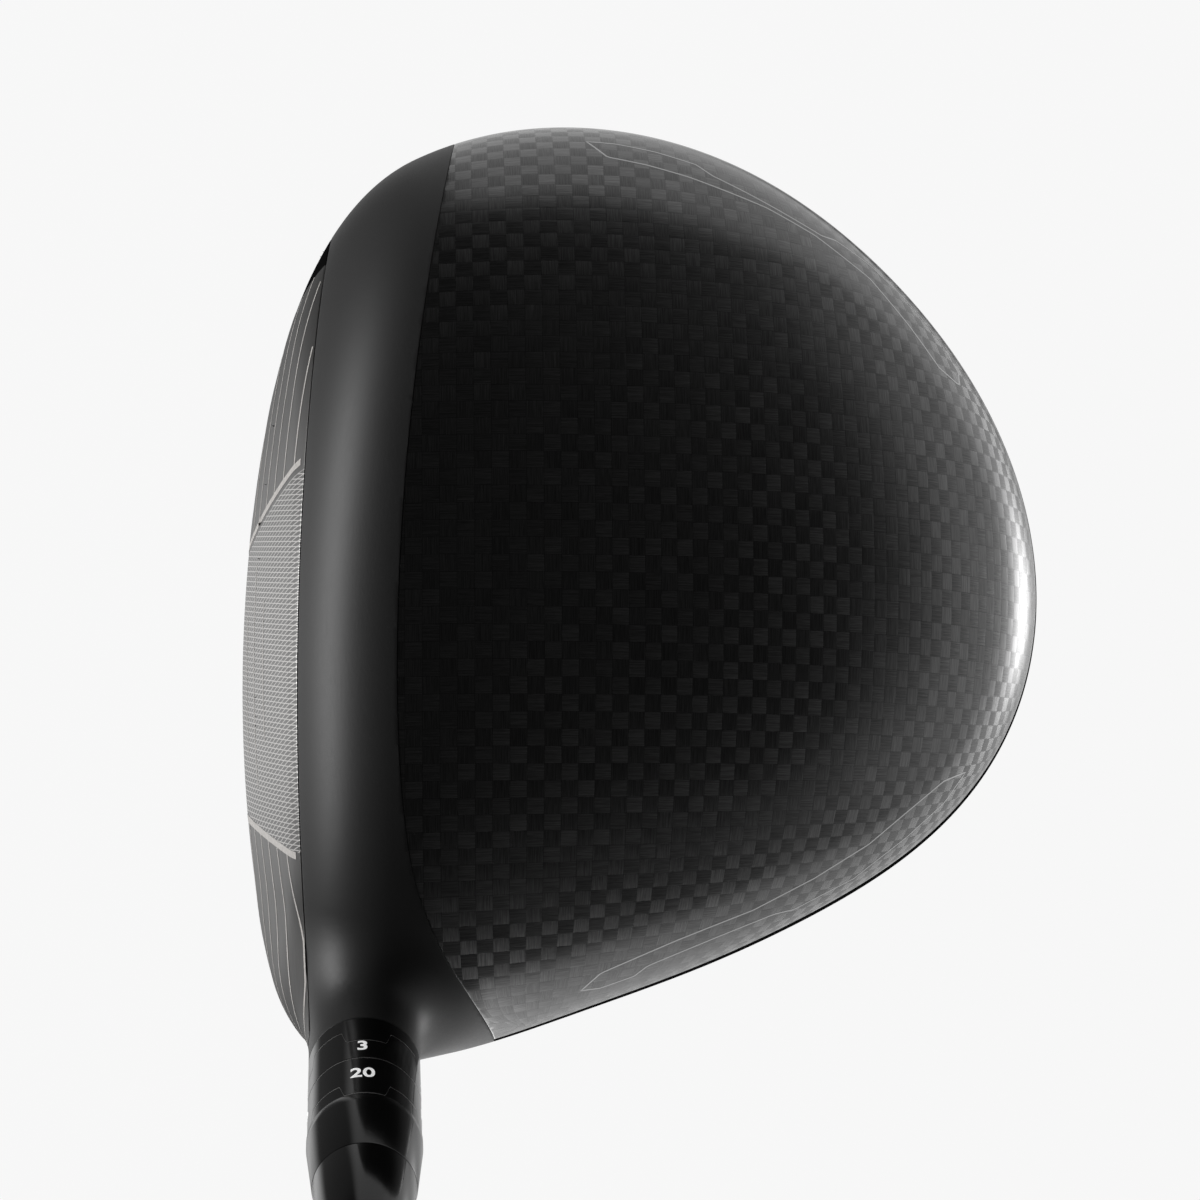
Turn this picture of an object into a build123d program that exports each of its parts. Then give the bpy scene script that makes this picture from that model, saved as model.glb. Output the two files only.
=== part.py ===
from build123d import *
import math
import os

# ---------------------------------------------------------------- driving dimensions (mm, degrees)
# X runs from the toe to the heel, Y from the face to the back, Z up from the ground.
LIE = 58.0                 # shaft to ground
LOFT = 10.0                # face to vertical
FACE_RADIUS = 280.0        # bulge and roll of the face
FACE_CENTRE = (-19.0, -13.2, 31.0)
PLAN_CENTRE = (-30.0, 22.0)
OUTLINE = [(-92.2, 26), (-89.8, 11), (-80.8, -3), (-66, -16.5), (-45, -26), (-19, -31), (6, -28), (22.5, -18),
           (29.5, -4), (28.2, 12), (19.4, 39.5), (4.4, 69.6), (-12, 83.9), (-30, 88.4), (-56, 81.5), (-79.6, 61),
           (-90.2, 41)]      # widest outline of the body, the part ahead of the face being cut away
EQUATOR = 27.0             # height of the widest outline at the plan centre
EQUATOR_RISE_X = -0.04     # the outline climbs towards the toe
EQUATOR_RISE_Y = -0.045    # and drops towards the tail
CROWN_HEIGHT = 36.0        # above the outline
SOLE_DEPTH = 26.05         # below it
EDGE_BLEND = 5.0           # rounding between face and crown or sole
WALL = 1.2
FACE_WALL = 2.8
SKIRT_TOP = 4.5            # skirt band, measured from the outline
SKIRT_BOTTOM = -7.0
SPINE_HALF = 12.0
FACE_PLATE_BACK = -3.0
SEAM = [(-110, 15.5), (-90, 12), (-67, 8.2), (-48, 5.8), (-28, 4.3), (-10, 4.1), (2, 4.9), (11, 6.7),
        (17, 9.3), (22.5, 13), (27.5, 17), (45, 31)]
FACE_OUTLINE = [(-73, 36.5), (-62, 46), (-42, 53), (-14, 56), (6, 53), (17, 46), (23, 36), (21.5, 23),
                (10, 10.5), (-16, 6.5), (-47, 10.5), (-66, 21)]

HOSEL_R = 6.85
HOSEL_RIM = 60.0           # along the shaft axis from the ground
HOSEL_FLARE = 7.0
SLEEVE_R = 4.80
RUNNING = 0.04             # radial clearance of turning and sliding fits
GAP = 0.05                 # end clearance between the rings
SLEEVE_END = 24.0
RING_SPLIT = 70.0
COLLAR_START = 79.0
COLLAR_END = 89.5
COLLAR_R = 6.95
COLLAR_TOP_R = 6.2
FERRULE_END = 101.5
FERRULE_R = 4.75
SHAFT_TIP = 38.0
SHAFT_TIP_R = 4.25
SHAFT_TAPER_START = 130.0
SHAFT_BUTT = 1149.0
SHAFT_BUTT_R = 7.62
SHAFT_WALL = 1.2
CLUB_LENGTH = 1155.7
GRIP_START = 888.0
TAPE = 0.25
GRIP_R_MOUTH = 8.6
GRIP_R_CAP = 13.2
VENT_R = 1.6
SCREW_R = 2.5              # M5 hosel screw
SCREW_HEAD_R = 4.0
SCREW_SEAT = 15.0
SCREW_TIP = 33.6
WEIGHT_R = 8.0
WEIGHT_X = -30.0
WEIGHT_TILT = 33.0
WEIGHT_SCREW_R = 2.0       # M4

AXIS = (math.cos(math.radians(LIE)), 0.0, math.sin(math.radians(LIE)))
WEIGHT_AXIS = (0.0, math.sin(math.radians(WEIGHT_TILT)), -math.cos(math.radians(WEIGHT_TILT)))


# ---------------------------------------------------------------- head form
def closed_spline(points, steps):
    """Samples of a smooth closed curve through the points."""
    n = len(points)
    out = []
    for i in range(n):
        p0, p1, p2, p3 = (points[(i + k - 1) % n] for k in range(4))
        d = [max(math.dist(a, b), 1e-6) ** 0.5 for a, b in ((p0, p1), (p1, p2), (p2, p3))]
        for s in range(steps):
            t = s / steps
            xy = []
            for k in (0, 1):
                m1 = (p1[k] - p0[k]) / d[0] - (p2[k] - p0[k]) / (d[0] + d[1]) + (p2[k] - p1[k]) / d[1]
                m2 = (p2[k] - p1[k]) / d[1] - (p3[k] - p1[k]) / (d[1] + d[2]) + (p3[k] - p2[k]) / d[2]
                a = p1[k]
                b = p2[k]
                m1 *= d[1]
                m2 *= d[1]
                xy.append((2 * t**3 - 3 * t**2 + 1) * a + (t**3 - 2 * t**2 + t) * m1
                          + (-2 * t**3 + 3 * t**2) * b + (t**3 - t**2) * m2)
            out.append(tuple(xy))
    return out


def polar_table():
    """Outline as (angle, radius) about the plan centre, sorted by angle."""
    cx, cy = PLAN_CENTRE
    curve = closed_spline(OUTLINE, 24)
    rows = sorted((math.atan2(y - cy, x - cx), math.hypot(x - cx, y - cy)) for x, y in curve)
    first = rows[0]
    last = rows[-1]
    return [(last[0] - 2 * math.pi, last[1])] + rows + [(first[0] + 2 * math.pi, first[1])]


POLAR = polar_table()


def outline_radius(angle):
    lo = 0
    hi = len(POLAR) - 1
    while hi - lo > 1:
        mid = (lo + hi) // 2
        if POLAR[mid][0] <= angle:
            lo = mid
        else:
            hi = mid
    (a0, r0), (a1, r1) = POLAR[lo], POLAR[hi]
    return r0 + (r1 - r0) * (angle - a0) / (a1 - a0)


def equator(x, y):
    return EQUATOR + EQUATOR_RISE_X * (x - PLAN_CENTRE[0]) + EQUATOR_RISE_Y * (y - PLAN_CENTRE[1])


def body_field(x, y, z):
    """Below zero inside the egg-shaped body."""
    dx = x - PLAN_CENTRE[0]
    dy = y - PLAN_CENTRE[1]
    q = math.hypot(dx, dy) / outline_radius(math.atan2(dy, dx))
    h = z - equator(x, y)
    if h >= 0:
        return q**2.35 + (h / CROWN_HEIGHT) ** 2 - 1
    return q**2.8 + (-h / SOLE_DEPTH) ** 2.1 - 1


def face_field(x, y, z, inset):
    """Below zero behind the face sphere, moved back by inset."""
    a = math.radians(LOFT)
    r = FACE_RADIUS - inset
    cx = FACE_CENTRE[0]
    cy = FACE_CENTRE[1] + math.cos(a) * FACE_RADIUS
    cz = FACE_CENTRE[2] - math.sin(a) * FACE_RADIUS
    return math.dist((x, y, z), (cx, cy, cz)) - r


def reach(field, origin, direction, limit):
    """Distance from a point inside the field to its surface."""
    lo = 0.0
    hi = limit
    for _ in range(34):
        mid = (lo + hi) / 2
        p = [o + d * mid for o, d in zip(origin, direction)]
        if field(*p) < 0:
            lo = mid
        else:
            hi = mid
    return (lo + hi) / 2


def soft_min(a, b, k):
    h = max(k - abs(a - b), 0.0) / k
    return min(a, b) - h * h * k / 4


TOE_END = min(x for x, y in closed_spline(OUTLINE, 24))
HEEL_END = max(x for x, y in closed_spline(OUTLINE, 24))
MID_X = (TOE_END + HEEL_END) / 2


def section_centre(x):
    """Middle of the head at x, on the level of the widest outline."""
    lo = -40.0
    hi = 100.0
    ys = [lo + (hi - lo) * i / 400 for i in range(401)]
    inside = [y for y in ys if body_field(x, y, equator(x, y)) < 0 and face_field(x, y, equator(x, y), 0) < 0]
    y = (inside[0] + inside[-1]) / 2
    return y, equator(x, y)


def section_radius(x, centre, angle, wall, face_wall):
    direction = (0.0, math.cos(angle), math.sin(angle))
    origin = (x, centre[0], centre[1])
    body = reach(body_field, origin, direction, 140.0) - wall
    face = reach(lambda a, b, c: face_field(a, b, c, face_wall), origin, direction, 400.0)
    return soft_min(body, face, EDGE_BLEND)


def section_wire(x, wall, face_wall):
    """Closed section of the head at x, seen along X; the inner skin borrows a section further out."""
    half = (HEEL_END - TOE_END) / 2
    outer_x = MID_X + (x - MID_X) * half / (half - wall)
    centre = section_centre(outer_x)
    count = 44
    points = []
    for i in range(count):
        angle = 2 * math.pi * i / count
        r = section_radius(outer_x, centre, angle, wall, face_wall)
        points.append((x, centre[0] + r * math.cos(angle), centre[1] + r * math.sin(angle)))
    return Wire([Spline(*points, periodic=True)])


def head_solid(wall, face_wall):
    """The whole head without its hosel, lofted through sections from toe to heel."""
    toe = TOE_END + wall
    heel = HEEL_END - wall
    stations = [0.0025, 0.02, 0.045, 0.075, 0.14, 0.22, 0.31, 0.41,
                0.52, 0.63, 0.73, 0.82, 0.89, 0.945, 0.98, 0.996]
    wires = [section_wire(toe + (heel - toe) * s, wall, face_wall) for s in stations]
    return Solid.make_loft(wires)


# ---------------------------------------------------------------- helpers
def along(s):
    return Vector(*AXIS) * s


def axis_plane(s, direction=1):
    return Plane(origin=along(s), x_dir=(0, 1, 0), z_dir=Vector(*AXIS) * direction)


def turned(profile):
    """Solid of revolution about the shaft axis from (radius, distance) corners."""
    plane = Plane(origin=(0, 0, 0), x_dir=(0, -1, 0), z_dir=Vector(0, -1, 0).cross(Vector(*AXIS)))
    corners = [plane.from_local_coords(Vector(r, s, 0)) for r, s in profile]
    face = Face(Wire.make_polygon(corners, close=True))
    return Solid.revolve(face, 360, Axis((0, 0, 0), AXIS))


def tube(inner, outer, start, end):
    return turned([(inner, start), (outer, start), (outer, end), (inner, end)])


def rod(radius, start, end):
    plane = axis_plane(start)
    return Solid.make_cylinder(radius, end - start, plane)


def behind_seam():
    """Block behind the seam line between the front casting and the rear panels."""
    points = [(x, y, -20) for x, y in SEAM]
    first = points[0]
    last = points[-1]
    heel_corner = (last[0], 140, -20)
    toe_corner = (first[0], 140, -20)
    sides = [Spline(*points), Line(last, heel_corner), Line(heel_corner, toe_corner), Line(toe_corner, first)]
    wire = Wire(sides)
    return Solid.extrude(Face(wire), Vector(0, 0, 120))


def above_band(offset):
    """Block above the plane that lies the given height over the widest outline."""
    slope = math.sqrt(1 + EQUATOR_RISE_X**2 + EQUATOR_RISE_Y**2)
    normal = Vector(-EQUATOR_RISE_X / slope, -EQUATOR_RISE_Y / slope, 1 / slope)
    origin = Vector(PLAN_CENTRE[0], PLAN_CENTRE[1], EQUATOR + offset)
    plane = Plane(origin=origin, x_dir=(1, 0, 0), z_dir=normal)
    return Solid.make_box(400, 400, 120, Plane(origin=plane.from_local_coords(Vector(-200, -200, 0)),
                                               x_dir=plane.x_dir, z_dir=plane.z_dir))


def spine_block():
    return Solid.make_box(2 * SPINE_HALF, 200, 120, Plane((WEIGHT_X - SPINE_HALF, -50, -20)))


def toe_block():
    return Solid.make_box(150, 200, 120, Plane((WEIGHT_X - 150, -50, -20)))


def weight_plane(depth):
    """Plane across the rear weight's axis; depth is measured inwards from the sole surface."""
    origin = Vector(*WEIGHT_CENTRE) - Vector(*WEIGHT_AXIS) * depth
    return Plane(origin=origin, x_dir=(1, 0, 0), z_dir=Vector(*WEIGHT_AXIS))


def weight_rod(radius, deep, shallow):
    """Cylinder about the weight's axis between two depths, deep being further inside."""
    return Solid.make_cylinder(radius, deep - shallow, weight_plane(deep))


def weight_centre():
    """Point of the sole that the weight's axis passes through."""
    origin = (WEIGHT_X, 30.0, 30.0)
    angle = math.radians(-37.0)
    direction = (0.0, math.cos(angle), math.sin(angle))
    r = reach(body_field, origin, direction, 120.0)
    return tuple(o + d * r for o, d in zip(origin, direction))


WEIGHT_CENTRE = weight_centre()


# ---------------------------------------------------------------- pieces of the head
def hosel_joint_edges(shape):
    """Edges where the hosel tube leaves the body."""
    found = []
    for edge in shape.edges():
        middle = edge.position_at(0.5)
        s = middle.dot(Vector(*AXIS))
        off = (middle - along(s)).length
        if abs(off - HOSEL_R) < 0.05 and s < HOSEL_RIM - 2:
            found.append(edge)
    return found


def outer_form(body):
    """Closed head with the hosel standing out of it, the corner rounded."""
    hosel = rod(HOSEL_R, 30.0, HOSEL_RIM)
    joined = body + hosel
    edges = hosel_joint_edges(joined)
    for radius in (HOSEL_FLARE, 5.0, 3.0, 1.5):
        try:
            rounded = joined.fillet(radius, edges)
        except Exception:
            continue
        if rounded.is_valid:
            return rounded
    return joined


def make_head():
    outer_body = head_solid(0.0, 0.0)
    inner_body = head_solid(WALL, FACE_WALL)
    form = outer_form(outer_body)
    rear = behind_seam()
    face_prism = face_block()

    # front casting: cup, hosel tube and the seat of the hosel screw
    front = form - inner_body - rear
    hosel_core = rod(HOSEL_R - 0.45, -5.0, 52.0) & form
    front = front + (hosel_core - rear)
    front = front - rod(SLEEVE_R + RUNNING, SCREW_SEAT + 4.0, HOSEL_RIM + 5.0)
    front = front - rod(SCREW_R + 0.25, SCREW_SEAT - 1.0, SCREW_SEAT + 6.0)
    front = front - rod(SCREW_HEAD_R + 0.35, -20.0, SCREW_SEAT)
    front = front - rod(5.75, HOSEL_RIM - 1.7, HOSEL_RIM + 5.0)
    face = front & face_prism
    front = front - face_prism

    shell = (outer_body - inner_body) & rear
    crown = shell & above_band(SKIRT_TOP)
    below = shell - above_band(SKIRT_TOP)
    skirt = below & above_band(SKIRT_BOTTOM)
    sole = below - above_band(SKIRT_BOTTOM)

    # weight port, a boss inside the rear of the sole spine
    port_outer = weight_rod(WEIGHT_R + 2.2, 14.0, -6.0) & outer_body
    pocket = weight_rod(WEIGHT_R + 0.06, 6.0, -14.0)
    thread = weight_rod(WEIGHT_SCREW_R + 0.04, 20.0, 0.0)
    mouth = weight_rod(WEIGHT_R + 2.2, 14.0, -6.0)
    crown = crown - mouth
    skirt = skirt - mouth
    spine = (sole & spine_block()) - mouth
    spine = spine + port_outer - pocket - thread
    panels = sole - spine_block() - mouth
    toe_panel = panels & toe_block()
    heel_panel = panels - toe_block()
    return {
        "front_body": front, "face_plate": face, "crown_panel": crown, "skirt_ring": skirt,
        "sole_spine": spine, "sole_panel_toe": toe_panel, "sole_panel_heel": heel_panel,
    }


def face_block():
    """Prism through the face, of the face plate's outline."""
    points = [(x, FACE_PLATE_BACK, z) for x, z in FACE_OUTLINE]
    wire = Wire([Spline(*points, periodic=True)])
    return Solid.extrude(Face(wire), Vector(0, -60, 0))


def make_weight():
    """Round weight with a counterbored hole for its screw."""
    body = weight_rod(WEIGHT_R, 5.9, 1.2)
    body = body - weight_rod(WEIGHT_SCREW_R + 0.2, 8.0, 0.0)
    body = body - weight_rod(3.6, 3.6, 0.0)
    return body


def lobed(plane, radius, height):
    """Six-lobed driver recess, cut upwards from the plane."""
    tool = Solid.make_cylinder(radius * 0.74, height, plane)
    for k in range(6):
        turn = math.radians(60 * k)
        corner = Vector(math.cos(turn), math.sin(turn), 0) * radius * 0.74
        lobe = Plane(origin=plane.from_local_coords(corner), x_dir=plane.x_dir, z_dir=plane.z_dir)
        tool = tool + Solid.make_cylinder(radius * 0.26, height, lobe)
    return tool


def make_weight_screw():
    shank = weight_rod(WEIGHT_SCREW_R, 12.5, 3.5)
    head = weight_rod(3.4, 3.6, 1.5)
    return head + shank - lobed(weight_plane(2.9), 1.95, 3.0)


# ---------------------------------------------------------------- adapter, shaft and grip
def make_hosel_screw():
    head = rod(SCREW_HEAD_R, SCREW_SEAT - 5.6, SCREW_SEAT - 0.8)
    shank = rod(SCREW_R, SCREW_SEAT - 1.0, SCREW_TIP)
    recess = lobed(axis_plane(SCREW_SEAT - 8.0), 2.25, 5.4)
    return head + shank - recess


def make_washer():
    return tube(SCREW_R + 0.1, SCREW_HEAD_R + 0.1, SCREW_SEAT - 0.8, SCREW_SEAT)


def make_sleeve():
    body = tube(SHAFT_TIP_R, SLEEVE_R, SHAFT_TIP, COLLAR_START)
    plug = rod(SLEEVE_R, SLEEVE_END, SHAFT_TIP)
    collar = turned([(SHAFT_TIP_R, COLLAR_START), (COLLAR_R, COLLAR_START), (COLLAR_R, COLLAR_START + 1.5),
                     (COLLAR_TOP_R, COLLAR_END), (SHAFT_TIP_R, COLLAR_END)])
    groove = tube(4.45, SLEEVE_R + 1.0, HOSEL_RIM - 1.35, HOSEL_RIM - 0.3)
    thread = rod(SCREW_R + 0.03, SLEEVE_END - 1.0, SHAFT_TIP - 2.0)
    return body + plug + collar - groove - thread


def make_ring(start, end):
    return turned([(SLEEVE_R + RUNNING, start), (HOSEL_R, start), (HOSEL_R, end), (SLEEVE_R + RUNNING, end)])


def make_clip():
    ring = tube(4.5, 5.6, HOSEL_RIM - 1.3, HOSEL_RIM - 0.35)
    mouth = Solid.make_box(12, 3.2, 6, Plane(origin=along(HOSEL_RIM - 3) - Vector(0, 1.6, 0),
                                            x_dir=Vector(0, 1, 0).cross(Vector(*AXIS)), z_dir=Vector(*AXIS)))
    return ring - mouth


def make_ferrule():
    return turned([(SHAFT_TIP_R, COLLAR_END), (COLLAR_TOP_R, COLLAR_END), (FERRULE_R, FERRULE_END - 0.3),
                   (FERRULE_R - 0.15, FERRULE_END), (SHAFT_TIP_R, FERRULE_END)])


def shaft_radius(s):
    t = max(0.0, (s - SHAFT_TAPER_START) / (SHAFT_BUTT - SHAFT_TAPER_START))
    return SHAFT_TIP_R + (SHAFT_BUTT_R - SHAFT_TIP_R) * t


def make_shaft():
    bore = SHAFT_TIP_R - SHAFT_WALL
    return turned([(bore, SHAFT_TIP), (SHAFT_TIP_R, SHAFT_TIP), (SHAFT_TIP_R, SHAFT_TAPER_START),
                   (SHAFT_BUTT_R, SHAFT_BUTT), (SHAFT_BUTT_R - SHAFT_WALL, SHAFT_BUTT),
                   (bore, SHAFT_TAPER_START)])


def make_tip_plug():
    return rod(SHAFT_TIP_R - SHAFT_WALL, SHAFT_TIP, SHAFT_TIP + 8.0)


def make_tape():
    a = shaft_radius(GRIP_START + 4)
    b = shaft_radius(SHAFT_BUTT)
    return turned([(a, GRIP_START + 4), (a + TAPE, GRIP_START + 4), (b + TAPE, SHAFT_BUTT), (b, SHAFT_BUTT)])


def make_grip():
    a = shaft_radius(GRIP_START)
    b = shaft_radius(GRIP_START + 4)
    c = shaft_radius(SHAFT_BUTT)
    return turned([(a, GRIP_START), (GRIP_R_MOUTH - 0.6, GRIP_START), (GRIP_R_MOUTH, GRIP_START + 1.0),
                   (GRIP_R_MOUTH + 1.9, GRIP_START + 120), (GRIP_R_CAP - 0.9, SHAFT_BUTT - 18),
                   (GRIP_R_CAP - 0.2, SHAFT_BUTT), (c + TAPE, SHAFT_BUTT), (b + TAPE, GRIP_START + 4),
                   (b, GRIP_START + 4)])


def make_cap():
    return turned([(VENT_R, SHAFT_BUTT), (GRIP_R_CAP - 0.2, SHAFT_BUTT), (GRIP_R_CAP, SHAFT_BUTT + 1.5),
                   (GRIP_R_CAP - 0.4, SHAFT_BUTT + 4.0), (GRIP_R_CAP - 2.2, CLUB_LENGTH - 0.6),
                   (GRIP_R_CAP - 5.0, CLUB_LENGTH), (VENT_R, CLUB_LENGTH)])


def build():
    pieces = make_head()
    pieces["rear_weight"] = make_weight()
    pieces["rear_weight_screw"] = make_weight_screw()
    pieces["hosel_screw"] = make_hosel_screw()
    pieces["screw_washer"] = make_washer()
    pieces["adapter_sleeve"] = make_sleeve()
    pieces["lie_ring"] = make_ring(HOSEL_RIM + GAP, RING_SPLIT - GAP / 2)
    pieces["loft_ring"] = make_ring(RING_SPLIT + GAP / 2, COLLAR_START - GAP)
    pieces["ring_clip"] = make_clip()
    pieces["ferrule"] = make_ferrule()
    pieces["shaft"] = make_shaft()
    pieces["tip_plug"] = make_tip_plug()
    pieces["grip_tape"] = make_tape()
    pieces["grip"] = make_grip()
    pieces["grip_cap"] = make_cap()
    return pieces


os.makedirs("parts", exist_ok=True)
for name, piece in build().items():
    body = max(piece.solids(), key=lambda solid: solid.volume)
    print(name, round(body.volume / 1000, 3), "cm3")
    export_step(body, os.path.join("parts", name + ".step"))
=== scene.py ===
import bpy
import bmesh
import math
import numpy as np
from mathutils import Matrix, Vector


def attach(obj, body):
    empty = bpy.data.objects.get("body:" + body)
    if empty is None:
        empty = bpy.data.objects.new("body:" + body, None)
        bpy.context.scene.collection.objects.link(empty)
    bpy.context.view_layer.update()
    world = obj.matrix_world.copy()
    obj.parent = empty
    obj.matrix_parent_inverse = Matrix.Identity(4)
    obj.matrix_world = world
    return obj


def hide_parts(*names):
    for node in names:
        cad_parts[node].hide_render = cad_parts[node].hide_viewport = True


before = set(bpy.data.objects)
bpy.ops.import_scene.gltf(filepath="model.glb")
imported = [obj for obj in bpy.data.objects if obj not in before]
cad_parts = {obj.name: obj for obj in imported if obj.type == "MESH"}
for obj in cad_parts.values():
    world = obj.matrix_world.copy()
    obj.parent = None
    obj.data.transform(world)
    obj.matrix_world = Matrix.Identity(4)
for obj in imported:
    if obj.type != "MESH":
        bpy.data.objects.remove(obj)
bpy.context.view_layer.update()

# Lengths below are millimetres unless a comment says metres; MM turns them into the frame's metres.
MM = 0.001

# ------------ driving dimensions
# They are the CAD's, except OUTLINE, SKIRT_TOP, EDGE_BLEND, FLARE and the FACE_ values, which were adjusted
# to the looks, and CELL and GROOVE, which only this model has.
LIE = math.radians(58.0)
LOFT = math.radians(10.0)
AXIS = np.array([math.cos(LIE), 0.0, math.sin(LIE)])
SIDE = np.array([-math.sin(LIE), 0.0, math.cos(LIE)])     # across the shaft, towards the toe and up
FACE_RADIUS = 222.0
FACE_CENTRE = np.array([-21.5, -13.85, 31.0])
PLAN_CENTRE = np.array([-30.0, 22.0])
# widest outline of the body, seen from above; the part ahead of the face is cut away
OUTLINE = [(-91.6, 26), (-89.3, 11), (-80.8, -3), (-66, -16.5), (-45, -26), (-19, -31), (6, -28), (22.5, -18),
           (29.5, -4), (28.2, 12), (19.2, 39.4), (4.15, 69.4), (-12, 83.65), (-30, 88.05), (-56, 81.4),
           (-79.6, 61), (-90.0, 41)]
EQUATOR = (27.0, -0.04, -0.045)      # height of that outline at the plan centre, and its slopes
CROWN_HEIGHT = 36.0
SOLE_DEPTH = 26.05
WALL = 1.2
FACE_WALL = 2.0
SEAM = [(-110, 15.5), (-90, 12), (-67, 8.2), (-48, 5.8), (-28, 4.3), (-10, 4.1), (2, 4.9), (11, 6.7),
        (17, 9.3), (22.5, 13), (27.5, 17), (45, 31)]
FACE_OUTLINE = [(-82, 37), (-78, 51), (-58, 61), (-31, 63), (-13, 63), (8, 61), (24, 53), (33, 43),
                (33, 32), (27, 20), (12, 8.5), (-16, 4.5), (-47, 8), (-66, 19)]
# where the satin face turns into the charcoal body, seen from above
FACE_EDGE = [(-95, -1.5), (-72.5, -4.8), (-52, -6.8), (-31, -8.0), (-13, -8.3), (5, -7.9), (22, -7.0),
             (31, -6.6), (45, -6.0)]
SKIRT_TOP = 4.2
SKIRT_BOTTOM = -7.0
SPINE_X = -30.0
SPINE_HALF = 12.0
HOSEL_R = 6.85
HOSEL_RIM = 60.0
HOSEL_FOOT = 20.0          # where the tube starts, inside the body
RING_SPLIT = 70.0
EDGE_BLEND = 9.0
FLARE = 9.0
SLEEVE_BORE_R = 4.84
SCREW_ACCESS_R = 4.35
PORT_R = 8.06
CELL = 0.62                # size of the surface net's cells
GROOVE = 0.10              # half the gap drawn between two panels


# ------------ the head as a smooth field
def spline_samples(points, steps=40):
    """Natural closed cubic through the points, sampled evenly between them."""
    p = np.array(points, float)
    n = len(p)
    gap = np.linalg.norm(np.roll(p, -1, 0) - p, axis=1) ** 0.5
    system = np.zeros((n, n))
    right = np.zeros((n, 2))
    for i in range(n):
        before, after = gap[i - 1], gap[i]
        system[i, (i - 1) % n] += before
        system[i, i] += 2 * (before + after)
        system[i, (i + 1) % n] += after
        right[i] = 6 * ((p[(i + 1) % n] - p[i]) / after - (p[i] - p[i - 1]) / before)
    bend = np.linalg.solve(system, right)
    out = []
    for i in range(n):
        j = (i + 1) % n
        for s in np.arange(steps) / steps:
            a, b = 1 - s, s
            out.append(a * p[i] + b * p[j] + ((a**3 - a) * bend[i] + (b**3 - b) * bend[j]) * gap[i] ** 2 / 6)
    return np.array(out)


def polar_series(points, centre, orders):
    """Smooth polar radius of a closed outline, as a short Fourier series."""
    q = spline_samples(points) - centre
    angle = np.arctan2(q[:, 1], q[:, 0])
    order = np.argsort(angle)
    radius = np.hypot(q[:, 0], q[:, 1])[order]
    angle = angle[order]
    even = np.linspace(-np.pi, np.pi, 1440, endpoint=False)
    r = np.interp(even, np.concatenate([angle - 2 * np.pi, angle, angle + 2 * np.pi]), np.tile(radius, 3))
    k = np.arange(orders + 1)
    phase = np.exp(-1j * np.outer(k, even))
    series = (phase @ r) / len(even)
    series[1:] *= 2
    return series


def polar_radius(series, angle):
    step = np.exp(1j * angle)
    power = np.ones_like(step)
    total = np.full(angle.shape, series[0].real)
    for c in series[1:]:
        power = power * step
        total = total + (c * power).real
    return total


PLAN = polar_series(OUTLINE, PLAN_CENTRE, 9)
FACE_MIDDLE = np.array([-25.0, 31.0])
FACE_PLAN = polar_series(FACE_OUTLINE, FACE_MIDDLE, 10)


def equator(x, y):
    return EQUATOR[0] + EQUATOR[1] * (x - PLAN_CENTRE[0]) + EQUATOR[2] * (y - PLAN_CENTRE[1])


def egg(p):
    """Rounded body below and above its outline: negative inside, zero on the surface."""
    dx = p[..., 0] - PLAN_CENTRE[0]
    dy = p[..., 1] - PLAN_CENTRE[1]
    q = np.maximum(np.hypot(dx, dy), 1e-6) / polar_radius(PLAN, np.arctan2(dy, dx))
    h = p[..., 2] - equator(p[..., 0], p[..., 1])
    up = q**2.35 + np.abs(h / CROWN_HEIGHT) ** 2
    down = q**2.8 + np.abs(h / SOLE_DEPTH) ** 2.1
    return np.where(h >= 0, up, down) - 1


def gradient(field, p, step=0.01):
    out = np.empty(p.shape)
    for k in range(3):
        d = np.zeros(3)
        d[k] = step
        out[..., k] = (field(p + d) - field(p - d)) / (2 * step)
    return out


def egg_distance(p):
    value = egg(p)
    slope = np.linalg.norm(gradient(egg, p), axis=-1)
    return value / np.maximum(slope, 0.004)


def face_distance(p):
    centre = FACE_CENTRE + FACE_RADIUS * np.array([0.0, math.cos(LOFT), -math.sin(LOFT)])
    return np.linalg.norm(p - centre, axis=-1) - FACE_RADIUS


def smooth_max(a, b, k):
    h = np.maximum(k - np.abs(a - b), 0.0) / k
    return np.maximum(a, b) + h * h * k / 4


def shaft_coordinates(p):
    along = p @ AXIS
    away = np.linalg.norm(p - along[..., None] * AXIS, axis=-1)
    return along, away


def with_hosel(body, p):
    """The body's field joined to the hosel tube by a flare."""
    along, away = shaft_coordinates(p)
    tube = np.maximum(away - HOSEL_R, HOSEL_FOOT - along)
    return -smooth_max(-body, -tube, FLARE)


def head_distance(p):
    return with_hosel(smooth_max(egg_distance(p), face_distance(p), EDGE_BLEND), p)


def head_normal(p):
    normal = gradient(head_distance, p)
    return normal / np.maximum(np.linalg.norm(normal, axis=1), 1e-6)[:, None]


def head_edge(point_at, low, high):
    """Where a line of points leaves the head: low is inside it and high is outside."""
    for _ in range(30):
        middle = (low + high) / 2
        inside = head_distance(point_at(middle)) < 0
        low = np.where(inside, middle, low)
        high = np.where(inside, high, middle)
    return low


def project(p, field=head_distance, rounds=6):
    for _ in range(rounds):
        g = gradient(field, p)
        p = p - (field(p) / np.maximum((g * g).sum(-1), 1e-6))[..., None] * g
    return p


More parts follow.
